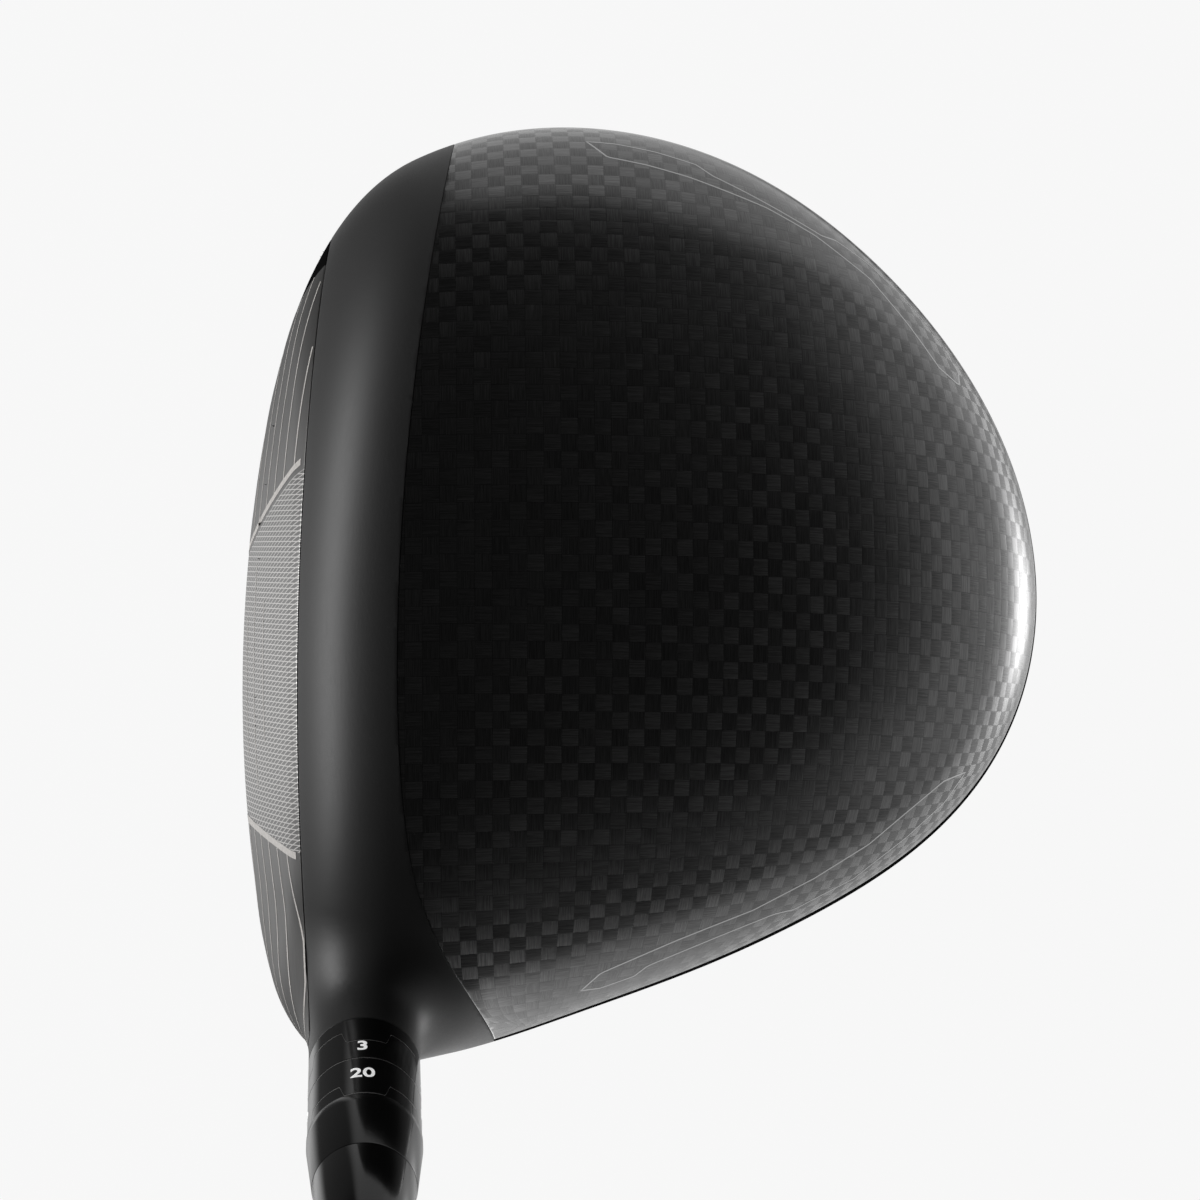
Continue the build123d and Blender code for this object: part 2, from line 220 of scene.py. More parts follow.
# ------------ meshing and cutting the skin
def surface_net(low, high, cell):
    """Quads, as triangles, through the cells where the head's field changes sign."""
    axes = [np.arange(a, b, cell) for a, b in zip(low, high)]
    grid = np.stack(np.meshgrid(*axes, indexing="ij"), -1)
    value = egg(grid)
    slope = np.sqrt(sum(g * g for g in np.gradient(value, cell)))
    body = smooth_max(value / np.maximum(slope, 0.004), face_distance(grid), EDGE_BLEND)
    inside = with_hosel(body, grid) < 0
    count = [n - 1 for n in inside.shape]
    corners = np.zeros(count, int)
    for i in (0, 1):
        for j in (0, 1):
            for k in (0, 1):
                corners += inside[i:i + count[0], j:j + count[1], k:k + count[2]]
    active = (corners > 0) & (corners < 8)
    index = np.full(count, -1)
    index[active] = np.arange(active.sum())
    cells = np.argwhere(active)
    points = np.array(low) + (cells + 0.5) * cell
    quads = []
    for axis in range(3):
        a, b = [k for k in range(3) if k != axis]
        first = np.take(inside, np.arange(inside.shape[axis] - 1), axis)
        second = np.take(inside, np.arange(1, inside.shape[axis]), axis)
        where = np.argwhere(first != second)
        here = where[:, [a, b]]
        where = where[((here > 0) & (here < [count[a], count[b]])).all(1)]
        ring = []
        for da, db in ((-1, -1), (0, -1), (0, 0), (-1, 0)):
            step = where.copy()
            step[:, a] += da
            step[:, b] += db
            ring.append(index[tuple(step.T)])
        ring = np.stack(ring, 1)
        outward = first[tuple(where.T)] if axis != 1 else ~first[tuple(where.T)]
        ring[~outward] = ring[~outward][:, ::-1]
        quads.append(ring)
    quads = np.concatenate(quads)
    return points, quads


def relax(points, quads, rounds):
    """Evens out the net along the surface."""
    edges = np.concatenate([quads[:, [k, (k + 1) % 4]] for k in range(4)])
    for _ in range(rounds):
        total = np.zeros(points.shape)
        number = np.zeros(len(points))
        for a, b in ((0, 1), (1, 0)):
            np.add.at(total, edges[:, a], points[edges[:, b]])
            np.add.at(number, edges[:, a], 1)
        points = points * 0.4 + 0.6 * total / np.maximum(number, 1)[:, None]
        points = project(points, rounds=2)
    return points


def clip(mesh, field, limit=0.0):
    """Part of a triangle mesh where field < limit; new points lie on the surface and on the limit."""
    points, tris = mesh
    value = field(points) - limit
    value[np.abs(value) < 1e-4] = -1e-4
    inside = value < 0
    number = inside[tris].sum(1)
    keep = tris[number == 3]
    mixed = tris[(number == 1) | (number == 2)]
    if not len(mixed):
        return compact(points, keep)
    odd = np.where(inside[mixed].sum(1) == 1, 1, 0)
    lone = np.argmax(inside[mixed] == odd[:, None].astype(bool), axis=1)
    rolled = np.stack([mixed[np.arange(len(mixed)), (lone + k) % 3] for k in range(3)], 1)
    pairs = np.concatenate([rolled[:, [0, 1]], rolled[:, [0, 2]]])
    unique, back = np.unique(np.sort(pairs, 1), axis=0, return_inverse=True)
    back = back.reshape(-1)
    a, b = unique.T
    t = (value[a] / (value[a] - value[b]))[:, None]
    fresh = points[a] * (1 - t) + points[b] * t
    for _ in range(4):
        fresh = project(fresh, rounds=1)
        normal = head_normal(fresh)
        slope = gradient(field, fresh)
        slope -= (slope * normal).sum(1)[:, None] * normal
        move = (field(fresh) - limit)[:, None] * slope / np.maximum((slope * slope).sum(1), 1e-4)[:, None]
        size = np.linalg.norm(move, axis=1)[:, None]
        fresh = fresh - move * np.minimum(1.0, 0.5 / np.maximum(size, 1e-9))
    first = len(points) + back[:len(mixed)]
    second = len(points) + back[len(mixed):]
    one = odd == 1
    made = [np.stack([rolled[:, 0], first, second], 1)[one],
            np.stack([rolled[:, 1], rolled[:, 2], second], 1)[~one],
            np.stack([rolled[:, 1], second, first], 1)[~one]]
    return compact(np.concatenate([points, fresh]), np.concatenate([keep] + made))


def compact(points, tris):
    used, back = np.unique(tris, return_inverse=True)
    return points[used], back.reshape(tris.shape)


def negative(field):
    return lambda p: -field(p)


def open_spline(points):
    """Natural cubic y(x) through the points, as a function."""
    x, y = np.array(points, float).T
    n = len(x)
    h = np.diff(x)
    system = np.eye(n)
    right = np.zeros(n)
    for i in range(1, n - 1):
        system[i, i - 1:i + 2] = (h[i - 1], 2 * (h[i - 1] + h[i]), h[i])
        right[i] = 6 * ((y[i + 1] - y[i]) / h[i] - (y[i] - y[i - 1]) / h[i - 1])
    bend = np.linalg.solve(system, right)

    def value(at):
        at = np.clip(at, x[0], x[-1])
        i = np.clip(np.searchsorted(x, at, side="right") - 1, 0, n - 2)
        a = (x[i + 1] - at) / h[i]
        b = (at - x[i]) / h[i]
        return a * y[i] + b * y[i + 1] + ((a**3 - a) * bend[i] + (b**3 - b) * bend[i + 1]) * h[i] ** 2 / 6
    return value


SEAM_LINE = open_spline(SEAM)
FACE_EDGE_LINE = open_spline(FACE_EDGE)
WEIGHT_TILT = math.radians(33.0)
WEIGHT_AXIS = np.array([0.0, math.sin(WEIGHT_TILT), -math.cos(WEIGHT_TILT)])
WEIGHT_START = np.array([-30.0, 30.0, 30.0])
WEIGHT_SIGHT = math.radians(-37.0)


def weight_centre():
    """Point of the sole that the weight's axis passes through."""
    direction = np.array([0.0, math.cos(WEIGHT_SIGHT), math.sin(WEIGHT_SIGHT)])
    low, high = 0.0, 120.0
    for _ in range(40):
        middle = (low + high) / 2
        if egg((WEIGHT_START + direction * middle)[None])[0] < 0:
            low = middle
        else:
            high = middle
    return WEIGHT_START + direction * low


WEIGHT_CENTRE = weight_centre()


def seam_field(p):
    x = p[..., 0]
    slope = (SEAM_LINE(x + 0.05) - SEAM_LINE(x - 0.05)) / 0.1
    return (p[..., 1] - SEAM_LINE(x)) / np.sqrt(1 + slope * slope)


def band_field(offset):
    return lambda p: p[..., 2] - equator(p[..., 0], p[..., 1]) - offset


def crown_edge_field(p):
    """Seam between crown and skirt, which climbs a little towards the tail and the toe."""
    rise = SKIRT_TOP + 0.02 * (p[..., 1] - PLAN_CENTRE[1]) - 0.03 * (p[..., 0] - PLAN_CENTRE[0])
    return p[..., 2] - equator(p[..., 0], p[..., 1]) - rise


def face_plate_field(p):
    d = p[..., [0, 2]] - FACE_MIDDLE
    flat = np.hypot(d[..., 0], d[..., 1]) - polar_radius(FACE_PLAN, np.arctan2(d[..., 1], d[..., 0]))
    edge = p[..., 1] - FACE_EDGE_LINE(p[..., 0])
    return smooth_max(flat, edge, 3.0)


def rim_field(p):
    return p @ AXIS - HOSEL_RIM


def weight_field(radius):
    def value(p):
        d = p - WEIGHT_CENTRE
        along = d @ WEIGHT_AXIS
        away = np.linalg.norm(d - along[..., None] * WEIGHT_AXIS, axis=-1)
        return np.where(p[..., 2] < 20, away - radius, 50.0)
    return value


def screw_field(radius):
    def value(p):
        along, away = shaft_coordinates(p)
        return np.where(along < 25, away - radius, 50.0)
    return value


def spine_field(p):
    return np.abs(p[..., 0] - SPINE_X) - SPINE_HALF


# ------------ Blender objects
def add_part(name, mesh, material, body, slot, *nodes, sharp=math.radians(40)):
    """Adds a piece that rides on a body; nodes are the CAD parts that it stands for."""
    points, faces = mesh
    data = bpy.data.meshes.new(name)
    data.from_pydata((np.asarray(points) * MM).tolist(), [], [list(map(int, f)) for f in faces])
    data.validate()
    data.materials.append(material)
    data.shade_smooth()
    data.set_sharp_from_angle(angle=sharp)
    piece = bpy.data.objects.new(name, data)
    bpy.context.scene.collection.objects.link(piece)
    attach(piece, body)
    if nodes:
        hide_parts(*nodes)
    return piece


RIM_STEPS = ((0.05, 0.015), (0.09, 0.06), (0.10, 0.14))


def skin(mesh, thickness, edge=1.0):
    """Closes a piece of the outer surface into a panel with a rounded rim; edge scales the rounding."""
    points, tris = mesh
    normal = head_normal(points)
    sides = np.concatenate([tris[:, [0, 1]], tris[:, [1, 2]], tris[:, [2, 0]]])
    key = np.sort(sides, 1)
    unique, back, number = np.unique(key, axis=0, return_inverse=True, return_counts=True)
    rim = sides[number[back.reshape(-1)] == 1]
    outward = np.zeros(points.shape)
    run = points[rim[:, 1]] - points[rim[:, 0]]
    run /= np.maximum(np.linalg.norm(run, axis=1), 1e-9)[:, None]
    for k in (0, 1):
        np.add.at(outward, rim[:, k], np.cross(run, normal[rim[:, k]]))
    outward /= np.maximum(np.linalg.norm(outward, axis=1), 1e-9)[:, None]
    on_rim = np.unique(rim)
    slot = np.full(len(points), -1)
    slot[on_rim] = np.arange(len(on_rim))
    layers = [points]
    faces = [tris]
    start = len(points)
    last = rim
    for a, b in RIM_STEPS:
        layers.append(points[on_rim] + edge * a * outward[on_rim] - edge * b * normal[on_rim])
        fresh = slot[rim] + start
        faces.append(np.stack([last[:, 1], last[:, 0], fresh[:, 0]], 1))
        faces.append(np.stack([last[:, 1], fresh[:, 0], fresh[:, 1]], 1))
        last = fresh
        start += len(on_rim)
    inner = points - thickness * normal
    inner[on_rim] += edge * RIM_STEPS[-1][0] * outward[on_rim]
    layers.append(inner)
    fresh = rim + start
    faces.append(np.stack([last[:, 1], last[:, 0], fresh[:, 0]], 1))
    faces.append(np.stack([last[:, 1], fresh[:, 0], fresh[:, 1]], 1))
    faces.append(tris[:, ::-1] + start)
    return np.concatenate(layers), np.concatenate(faces)


def rounded(profile, radius, steps=3):
    """Profile with each corner replaced by a short arc-like cut."""
    p = np.array(profile, float)
    n = len(p)
    out = []
    for i in range(n):
        a, b, c = p[i - 1], p[i], p[(i + 1) % n]
        ab = np.linalg.norm(a - b)
        bc = np.linalg.norm(c - b)
        r = min(radius, 0.35 * ab, 0.35 * bc)
        if r < 1e-3:
            out.append(tuple(b))
            continue
        s = b + (a - b) / ab * r
        e = b + (c - b) / bc * r
        for t in np.linspace(0, 1, steps + 1):
            out.append(tuple((1 - t) ** 2 * s + 2 * t * (1 - t) * b + t * t * e))
    return out


def turn_angles(steps):
    return np.degrees(np.arange(steps) * 2 * math.pi / steps)


def spokes(steps, axis, side):
    """Unit vectors round an axis, starting at its side vector."""
    turn = np.arange(steps) * 2 * math.pi / steps
    return np.cos(turn)[:, None] * side + np.sin(turn)[:, None] * np.cross(axis, side)


def revolve(rings, steps, base=np.zeros(3), axis=AXIS, side=SIDE, close=False):
    """Surface of revolution from (radius, distance) rings, each a number or one value for every step."""
    spoke = spokes(steps, axis, side)
    points = []
    faces = []
    rows = []
    for r, s in rings:
        if np.isscalar(r) and r == 0:
            rows.append([len(points)] * steps)
            points.append(base + axis * s)
            continue
        rows.append(list(range(len(points), len(points) + steps)))
        radius = np.broadcast_to(np.asarray(r, float), (steps,))
        level = np.broadcast_to(np.asarray(s, float), (steps,))
        points.extend(base + axis * level[:, None] + spoke * radius[:, None])
    pairs = list(zip(rows, rows[1:] + rows[:1]))
    for low, high in pairs if close else pairs[:-1]:
        for k in range(steps):
            m = (k + 1) % steps
            corners = [low[k], low[m], high[m], high[k]]
            faces.append([c for i, c in enumerate(corners) if c != corners[i - 1]])
    return np.array(points), faces


def crown_points(xy):
    """Points of the crown straight above plan positions."""
    low = equator(xy[:, 0], xy[:, 1])
    top = head_edge(lambda z: np.column_stack([xy, z]), low, low + CROWN_HEIGHT + 2)
    return np.column_stack([xy, top])


def face_points(xz):
    """Points of the striking face at given places seen from the front."""
    xz = np.asarray(xz, float)

    def point_at(y):
        return np.column_stack([xz[:, 0], y, xz[:, 1]])
    return point_at(head_edge(point_at, np.full(len(xz), 12.0), np.full(len(xz), -30.0)))


def even_path(points, spacing, closed=False):
    p = np.asarray(points, float)
    if closed:
        p = np.vstack([p, p[:1]])
    run = np.concatenate([[0], np.cumsum(np.linalg.norm(np.diff(p, axis=0), axis=1))])
    count = max(3, int(run[-1] / spacing) + 1)
    at = np.linspace(0, run[-1], count + closed)
    out = np.column_stack([np.interp(at, run, p[:, k]) for k in range(p.shape[1])])
    return out[:-1] if closed else out


def ribbon(path, width, closed=False, proud=0.03, sunk=0.08):
    """Thin closed strip lying on the head along a path; its top stands just proud of the surface."""
    p = np.asarray(path, float)
    normal = head_normal(p)
    run = np.roll(p, -1, 0) - np.roll(p, 1, 0)
    if not closed:
        run[0] = p[1] - p[0]
        run[-1] = p[-1] - p[-2]
    run /= np.linalg.norm(run, axis=1)[:, None]
    across = np.cross(normal, run)
    across /= np.linalg.norm(across, axis=1)[:, None]
    half = np.broadcast_to(np.asarray(width, float) / 2, (len(p),))[:, None]
    corners = [p - across * half - normal * sunk, p - across * half + normal * proud,
               p + across * half + normal * proud, p + across * half - normal * sunk]
    n = len(p)
    faces = []
    for i in range(n if closed else n - 1):
        j = (i + 1) % n
        for k in range(4):
            m = (k + 1) % 4
            faces.append((k * n + i, m * n + i, m * n + j, k * n + j))
    if not closed:
        faces.append((0, n, 2 * n, 3 * n))
        faces.append((4 * n - 1, 3 * n - 1, 2 * n - 1, n - 1))
    return np.concatenate(corners), faces


def joined(parts):
    """One mesh from several (points, faces) pairs."""
    points = []
    faces = []
    start = 0
    for p, f in parts:
        points.append(np.asarray(p))
        faces.extend([[int(i) + start for i in face] for face in f])
        start += len(p)
    return np.concatenate(points), faces


# ------------ materials
class Signal:
    """Output of a shader node, on which sums can be written."""

    def __init__(self, wiring, socket):
        self.wiring = wiring
        self.socket = socket

    def __add__(self, other):
        return self.wiring.math("ADD", self, other)

    def __radd__(self, other):
        return self.wiring.math("ADD", other, self)

    def __sub__(self, other):
        return self.wiring.math("SUBTRACT", self, other)

    def __rsub__(self, other):
        return self.wiring.math("SUBTRACT", other, self)

    def __mul__(self, other):
        return self.wiring.math("MULTIPLY", self, other)


class Wiring:
    """Small helper that adds and links shader nodes."""

    def __init__(self, tree):
        self.tree = tree

    def add(self, kind, inputs=None, **settings):
        n = self.tree.nodes.new("ShaderNode" + kind)
        for key, value in settings.items():
            setattr(n, key, value)
        for key, value in (inputs or {}).items():
            self.feed(n.inputs[key], value)
        return n

    def node(self, kind, output, inputs=None, **settings):
        return Signal(self, self.add(kind, inputs, **settings).outputs[output])

    def feed(self, socket, value):
        if isinstance(value, Signal):
            self.tree.links.new(value.socket, socket)
        else:
            socket.default_value = value

    def math(self, operation, *values):
        return self.node("Math", 0, dict(enumerate(values)), operation=operation)

    def vector(self, operation, *values):
        output = "Value" if operation in ("DOT_PRODUCT", "LENGTH") else "Vector"
        return self.node("VectorMath", output, dict(enumerate(values)), operation=operation)

    def split(self, vector):
        n = self.add("SeparateXYZ", {0: vector})
        return [Signal(self, n.outputs[k]) for k in "XYZ"]

    def combine(self, *values):
        return self.node("CombineXYZ", 0, dict(enumerate(values)))

    def blend(self, factor, a, b):
        return self.node("Mix", "Result", {"Factor": factor, "A": a, "B": b}, data_type="RGBA")

    def ramp(self, value, low, high, to_low=0.0, to_high=1.0):
        inputs = {"Value": value, "From Min": low, "From Max": high, "To Min": to_low, "To Max": to_high}
        return self.node("MapRange", "Result", inputs, interpolation_type="SMOOTHSTEP")

    def place_mm(self):
        """Object position in millimetres."""
        place = self.node("TexCoord", "Object")
        return self.node("VectorMath", "Vector", {0: place, "Scale": 1000.0}, operation="SCALE")

    def noise(self, where, scale, detail=3.0, rough=0.5):
        inputs = {"Vector": where, "Scale": scale, "Detail": detail, "Roughness": rough}
        return self.node("TexNoise", "Fac", inputs)

    def bump(self, height, depth_mm, strength=1.0):
        inputs = {"Height": height, "Distance": depth_mm * MM, "Strength": strength}
        return self.node("Bump", "Normal", inputs)


class Shader(Wiring):
    """A Principled material."""

    def __init__(self, name):
        self.material = bpy.data.materials.new(name)
        self.material.use_nodes = True
        super().__init__(self.material.node_tree)
        self.out = self.tree.nodes["Principled BSDF"]

    def set(self, **values):
        for key, value in values.items():
            self.feed(self.out.inputs[key.replace("_", " ")], value)


def grey(v, warm=0.0):
    return (v * (1 + warm), v, v * (1 - warm), 1.0)


def charcoal_coat(name="charcoal_coat", level=1.0, gloss=0.5):
    s = Shader(name)
    at = s.place_mm()
    cloud = s.noise(at, 0.05, 2.0)
    speck = s.noise(at, 4.0, 4.0, 0.7)
    colour = s.blend(cloud, grey(0.026 * level), grey(0.034 * level))
    colour = s.blend(s.ramp(speck, 0.62, 0.78), colour, grey(0.06 * level))
    s.set(Base_Color=colour, Roughness=s.ramp(speck, 0.2, 0.8, 0.40, 0.50), Specular_IOR_Level=gloss,
          Normal=s.bump(speck, 0.012))
    return s.material


def milled_face():
    """Satin face: hatched in the middle, plain towards toe and heel, black at the toe corner; painted shade
    darkens it towards toe and heel.
    """
    s = Shader("milled_face")
    at = s.place_mm()
    x, _, z = s.split(at)
    toe_side = x - (z * -0.15 - 34.7)
    heel_side = z * 0.27 - 7.8 - x
    middle = s.ramp(s.math("MINIMUM", toe_side, heel_side), -0.05, 0.05)
    slant = z * 0.17
    rising = x + slant
    falling = x - slant

    def strokes(line):
        return s.ramp(s.math("PINGPONG", line, 0.33), 0.045, 0.085, 1.0, 0.0)
    hatch = s.math("MAXIMUM", strokes(rising), strokes(falling)) * middle
    milled = s.noise(s.vector("MULTIPLY", at, (0.25, 1.0, 14.0)), 1.0, 3.0)
    cloud = s.noise(at, 0.08, 2.0)
    # Painted shade: the face is made darker towards the toe and the heel, standing in for the dimmer
    # reflection there.
    end_shade = s.ramp(s.math("ABSOLUTE", x + 19.0), 8.0, 46.0)
    plain = s.blend(end_shade, grey(0.26, 0.012), grey(0.075, 0.02))
    colour = s.blend(middle, plain, s.blend(end_shade, grey(0.27, 0.012), grey(0.12, 0.02)))
    colour = s.blend(cloud * 0.2, colour, grey(0.16, 0.01))
    colour = s.blend(milled * 0.15, colour, grey(0.08))
    colour = s.blend(hatch * 0.75, colour, grey(0.85, 0.02))
    black = s.ramp(x + z * 0.25, -61.5, -61.2, 1.0, 0.0)
    colour = s.blend(black, colour, grey(0.006))
    height = milled * 0.5 + hatch * 0.5
    s.set(Base_Color=colour, Metallic=1.0 - black, Normal=s.bump(height, 0.008),
          Roughness=s.ramp(milled, 0.2, 0.8, 0.38, 0.48), Specular_IOR_Level=(1.0 - black) * 0.5)
    return s.material


def carbon_weave():
    """Plain weave under clear lacquer, laid out by the 'cloth' attribute, which counts tows both ways."""
    s = Shader("carbon_weave")
    cloth = s.node("Attribute", "Vector", attribute_name="cloth")
    along = s.node("Attribute", "Vector", attribute_name="warp")
    u, v, _ = s.split(cloth)
    column = s.math("FLOOR", u)
    row = s.math("FLOOR", v)
    fu = s.math("FRACT", u)
    fv = s.math("FRACT", v)
    odd = s.math("GREATER_THAN", s.math("MODULO", column + row + 1000.0, 2.0), 0.5)

    def mix(a, b):
        return s.node("Mix", "Result", {"Factor": odd, "A": a, "B": b}, data_type="FLOAT")
    length = mix(fu, fv)
    across = mix(fv, fu)
    tow = mix(row + column * 0.37, column + 500.5)
    fibre = s.noise(s.combine(mix(u, v) * 0.7, mix(v, u) * 22.0, tow), 1.0, 2.0, 0.6)
    tint = s.node("TexWhiteNoise", "Value", {"Vector": s.combine(column, row)}, noise_dimensions="3D")

    def arch(t, power):
        centre = s.math("ABSOLUTE", t * 2.0 - 1.0)
        return 1.0 - s.math("POWER", centre, power)
    height = arch(length, 2.2) + arch(across, 6.0) * 0.5
    height = height + fibre * 0.12
    edge = s.ramp(arch(length, 6.0), 0.0, 0.25) * s.ramp(arch(across, 10.0), 0.0, 0.3)
    bright = s.ramp(fibre, 0.25, 0.8, 0.55, 1.25) * (0.85 + tint * 0.3)
    bright = bright * (0.35 + edge * 0.65)
    colour = s.blend(bright * 0.5, grey(0.0), grey(0.34))
    weft = s.vector("CROSS_PRODUCT", s.node("NewGeometry", "Normal"), along)
    tangent = s.node("Mix", 1, {"Factor": odd, 4: along, 5: weft}, data_type="VECTOR")
    s.set(Base_Color=colour, Metallic=0.85, Roughness=0.40, Anisotropic=0.9, Tangent=tangent,
          Normal=s.bump(height, 0.018), Coat_Weight=1.0, Coat_Roughness=0.035, Coat_IOR=1.5)
    return s.material


def gloss_black(name, level, roughness, streak=0.0):
    s = Shader(name)
    at = s.place_mm()
    fine = s.noise(at, 3.0, 3.0)
    depth = s.vector("DOT_PRODUCT", at, tuple(AXIS))
    turned = s.noise(s.combine(depth * 12.0), 1.0, 2.0)
    colour = s.blend(fine, grey(level * 0.8), grey(level * 1.25))
    s.set(Base_Color=colour, Roughness=s.ramp(fine, 0.2, 0.8, roughness * 0.85, roughness * 1.2),
          Normal=s.bump(turned, 0.004, streak), Specular_IOR_Level=0.6)
    return s.material


def turned_metal(name, level, roughness, axis, base=(0.0, 0.0, 0.0)):
    """Lathe-turned metal with fine rings about an axis."""
    s = Shader(name)
    at = s.vector("SUBTRACT", s.place_mm(), tuple(base))
    depth = s.vector("DOT_PRODUCT", at, tuple(axis))
    off = s.vector("SUBTRACT", at, s.vector("MULTIPLY", s.combine(depth, depth, depth), tuple(axis)))
    radius = s.vector("LENGTH", off)
    rings = s.noise(s.combine(radius * 9.0, depth * 9.0), 1.0, 2.0)
    stain = s.noise(at, 0.6, 4.0)
    colour = s.blend(rings, grey(level * 0.8, 0.01), grey(level * 1.2, 0.01))
    colour = s.blend(stain * 0.35, colour, grey(level * 0.55, 0.02))
    s.set(Base_Color=colour, Metallic=1.0, Normal=s.bump(rings, 0.012),
          Roughness=s.ramp(stain, 0.25, 0.75, roughness * 0.8, roughness * 1.25))
    return s.material


def paint(name, level, warm=0.0, roughness=0.45, painted_glow=0.0):
    s = Shader(name)
    at = s.place_mm()
    wear = s.noise(at, 2.5, 4.0)
    colour = s.blend(s.ramp(wear, 0.35, 0.75), grey(level, warm), grey(level * 0.8, warm))
    # The glow setting makes the paint emit its own colour, which is painted light; only the dial numbers use
    # it.
    s.set(Base_Color=colour, Roughness=roughness, Normal=s.bump(wear, 0.01), Emission_Color=colour,
          Emission_Strength=painted_glow)
    return s.material


def metallic_line():
    s = Shader("silver_pinstripe_painted_glow")
    flake = s.noise(s.place_mm(), 6.0, 3.0)
    # The stripe also glows faintly white (emission 0.11): painted light that brightens it.
    s.set(Base_Color=s.blend(flake, grey(0.24), grey(0.34)), Metallic=0.9, Roughness=0.3, Coat_Weight=1.0,
          Coat_Roughness=0.035, Normal=s.bump(flake, 0.004), Emission_Color=grey(1.0), Emission_Strength=0.11)
    return s.material


def wound_graphite():
    """Clear-coated tube with faint spiral bands."""
    s = Shader("wound_graphite")
    at = s.place_mm()
    depth = s.vector("DOT_PRODUCT", at, tuple(AXIS))
    side = s.vector("DOT_PRODUCT", at, tuple(SIDE))
    angle = s.math("ARCTAN2", s.split(at)[1], side)
    spiral = depth * 0.9 + angle
    bands = s.noise(s.combine(spiral), 1.0, 2.0)
    flake = s.noise(at, 2.2, 5.0, 0.7)
    colour = s.blend(bands, grey(0.010), grey(0.022))
    colour = s.blend(s.ramp(flake, 0.6, 0.8, 0.0, 0.6), colour, grey(0.05))
    s.set(Base_Color=colour, Roughness=0.32, Coat_Weight=0.8, Coat_Roughness=0.06, Normal=s.bump(bands, 0.01))
    return s.material


def moulded_rubber(name, level):
    s = Shader(name)
    at = s.place_mm()
    grain = s.noise(at, 1.8, 6.0, 0.75)
    cloud = s.noise(at, 0.03, 2.0)
    colour = s.blend(cloud, grey(level * 0.8), grey(level * 1.25))
    colour = s.blend(s.ramp(grain, 0.55, 0.8), colour, grey(level * 1.9))
    s.set(Base_Color=colour, Roughness=s.ramp(grain, 0.2, 0.8, 0.62, 0.85), Normal=s.bump(grain, 0.06))
    return s.material


def woven_tape():
    s = Shader("woven_tape")
    at = s.place_mm()
    depth = s.vector("DOT_PRODUCT", at, tuple(AXIS))
    threads = s.math("MAXIMUM", s.math("PINGPONG", depth, 0.4), s.math("PINGPONG", s.split(at)[1], 0.4))
    s.set(Base_Color=s.blend(threads, grey(0.62, 0.04), grey(0.42, 0.05)), Roughness=0.9,
          Normal=s.bump(threads, 0.05))
    return s.material


M_BODY = charcoal_coat()
M_SKIRT = charcoal_coat("black_coat", 0.35, 0.0)
M_FACE = milled_face()
M_CARBON = carbon_weave()
M_RING = gloss_black("anodised_gloss", 0.006, 0.10, 0.15)
M_COLLAR = gloss_black("anodised_satin", 0.006, 0.13, 0.8)
M_FERRULE = gloss_black("polished_ferrule", 0.006, 0.11, 0.5)
# The white fill of the dial numbers glows (emission 0.55): painted light that lifts them to white.
M_MARK = paint("glowing_white_fill", 0.95, painted_glow=0.55)
M_LINE = paint("cream_fill", 0.62, 0.045)
M_STRIPE = metallic_line()
M_LIP = turned_metal("ferrule_lip", 0.30, 0.3, AXIS)
M_EDGE = turned_metal("bare_edge", 0.45, 0.45, AXIS)
M_SCREW = turned_metal("screw_steel", 0.42, 0.28, AXIS)
M_WEIGHT = turned_metal("turned_tungsten", 0.40, 0.3, WEIGHT_AXIS, WEIGHT_CENTRE)
M_WEIGHT_SCREW = turned_metal("weight_screw_steel", 0.2, 0.3, WEIGHT_AXIS, WEIGHT_CENTRE)
M_SHAFT = wound_graphite()
M_RUBBER = moulded_rubber("grip_rubber", 0.018)
M_CAP = moulded_rubber("cap_rubber", 0.014)
M_TAPE = woven_tape()
M_NYLON = paint("moulded_nylon", 0.6, 0.03, 0.5)


# ------------ cloth layout of the carbon panels
def arc_table(axis):
    """Distances measured along the crown from its middle, in rows parallel to X (0) or Y (1)."""
    xs = np.arange(-96.0, 34.0, 0.5)
    ys = np.arange(-12.0, 92.0, 0.5)
    gx, gy = np.meshgrid(xs, ys, indexing="ij")
    dx = gx - PLAN_CENTRE[0]
    dy = gy - PLAN_CENTRE[1]
    q = np.hypot(dx, dy) / polar_radius(PLAN, np.arctan2(dy, dx))
    z = equator(gx, gy) + CROWN_HEIGHT * np.sqrt(np.maximum(1 - q**2.35, 0.0))
    step = np.hypot(0.5, np.diff(z, axis=axis))
    run = np.cumsum(step, axis=axis)
    pad = np.zeros((1, len(ys))) if axis == 0 else np.zeros((len(xs), 1))
    run = np.concatenate([pad, run], axis=axis)
    middle = int((PLAN_CENTRE[axis] - (xs, ys)[axis][0]) / 0.5)
    run = run - (run[middle:middle + 1] if axis == 0 else run[:, middle:middle + 1])
    return xs, ys, run + PLAN_CENTRE[axis]


def bilinear(table, x, y):
    xs, ys, value = table
    fx = np.clip((x - xs[0]) / 0.5, 0, len(xs) - 1.001)
    fy = np.clip((y - ys[0]) / 0.5, 0, len(ys) - 1.001)
    i, j = fx.astype(int), fy.astype(int)
    a, b = fx - i, fy - j
    return ((1 - a) * (1 - b) * value[i, j] + a * (1 - b) * value[i + 1, j]
            + (1 - a) * b * value[i, j + 1] + a * b * value[i + 1, j + 1])


TOW_WIDTH = 2.14
CLOTH_PULL = 0.0024        # the cloth is drawn narrower towards the tail
ARC_X = arc_table(0)
ARC_Y = arc_table(1)


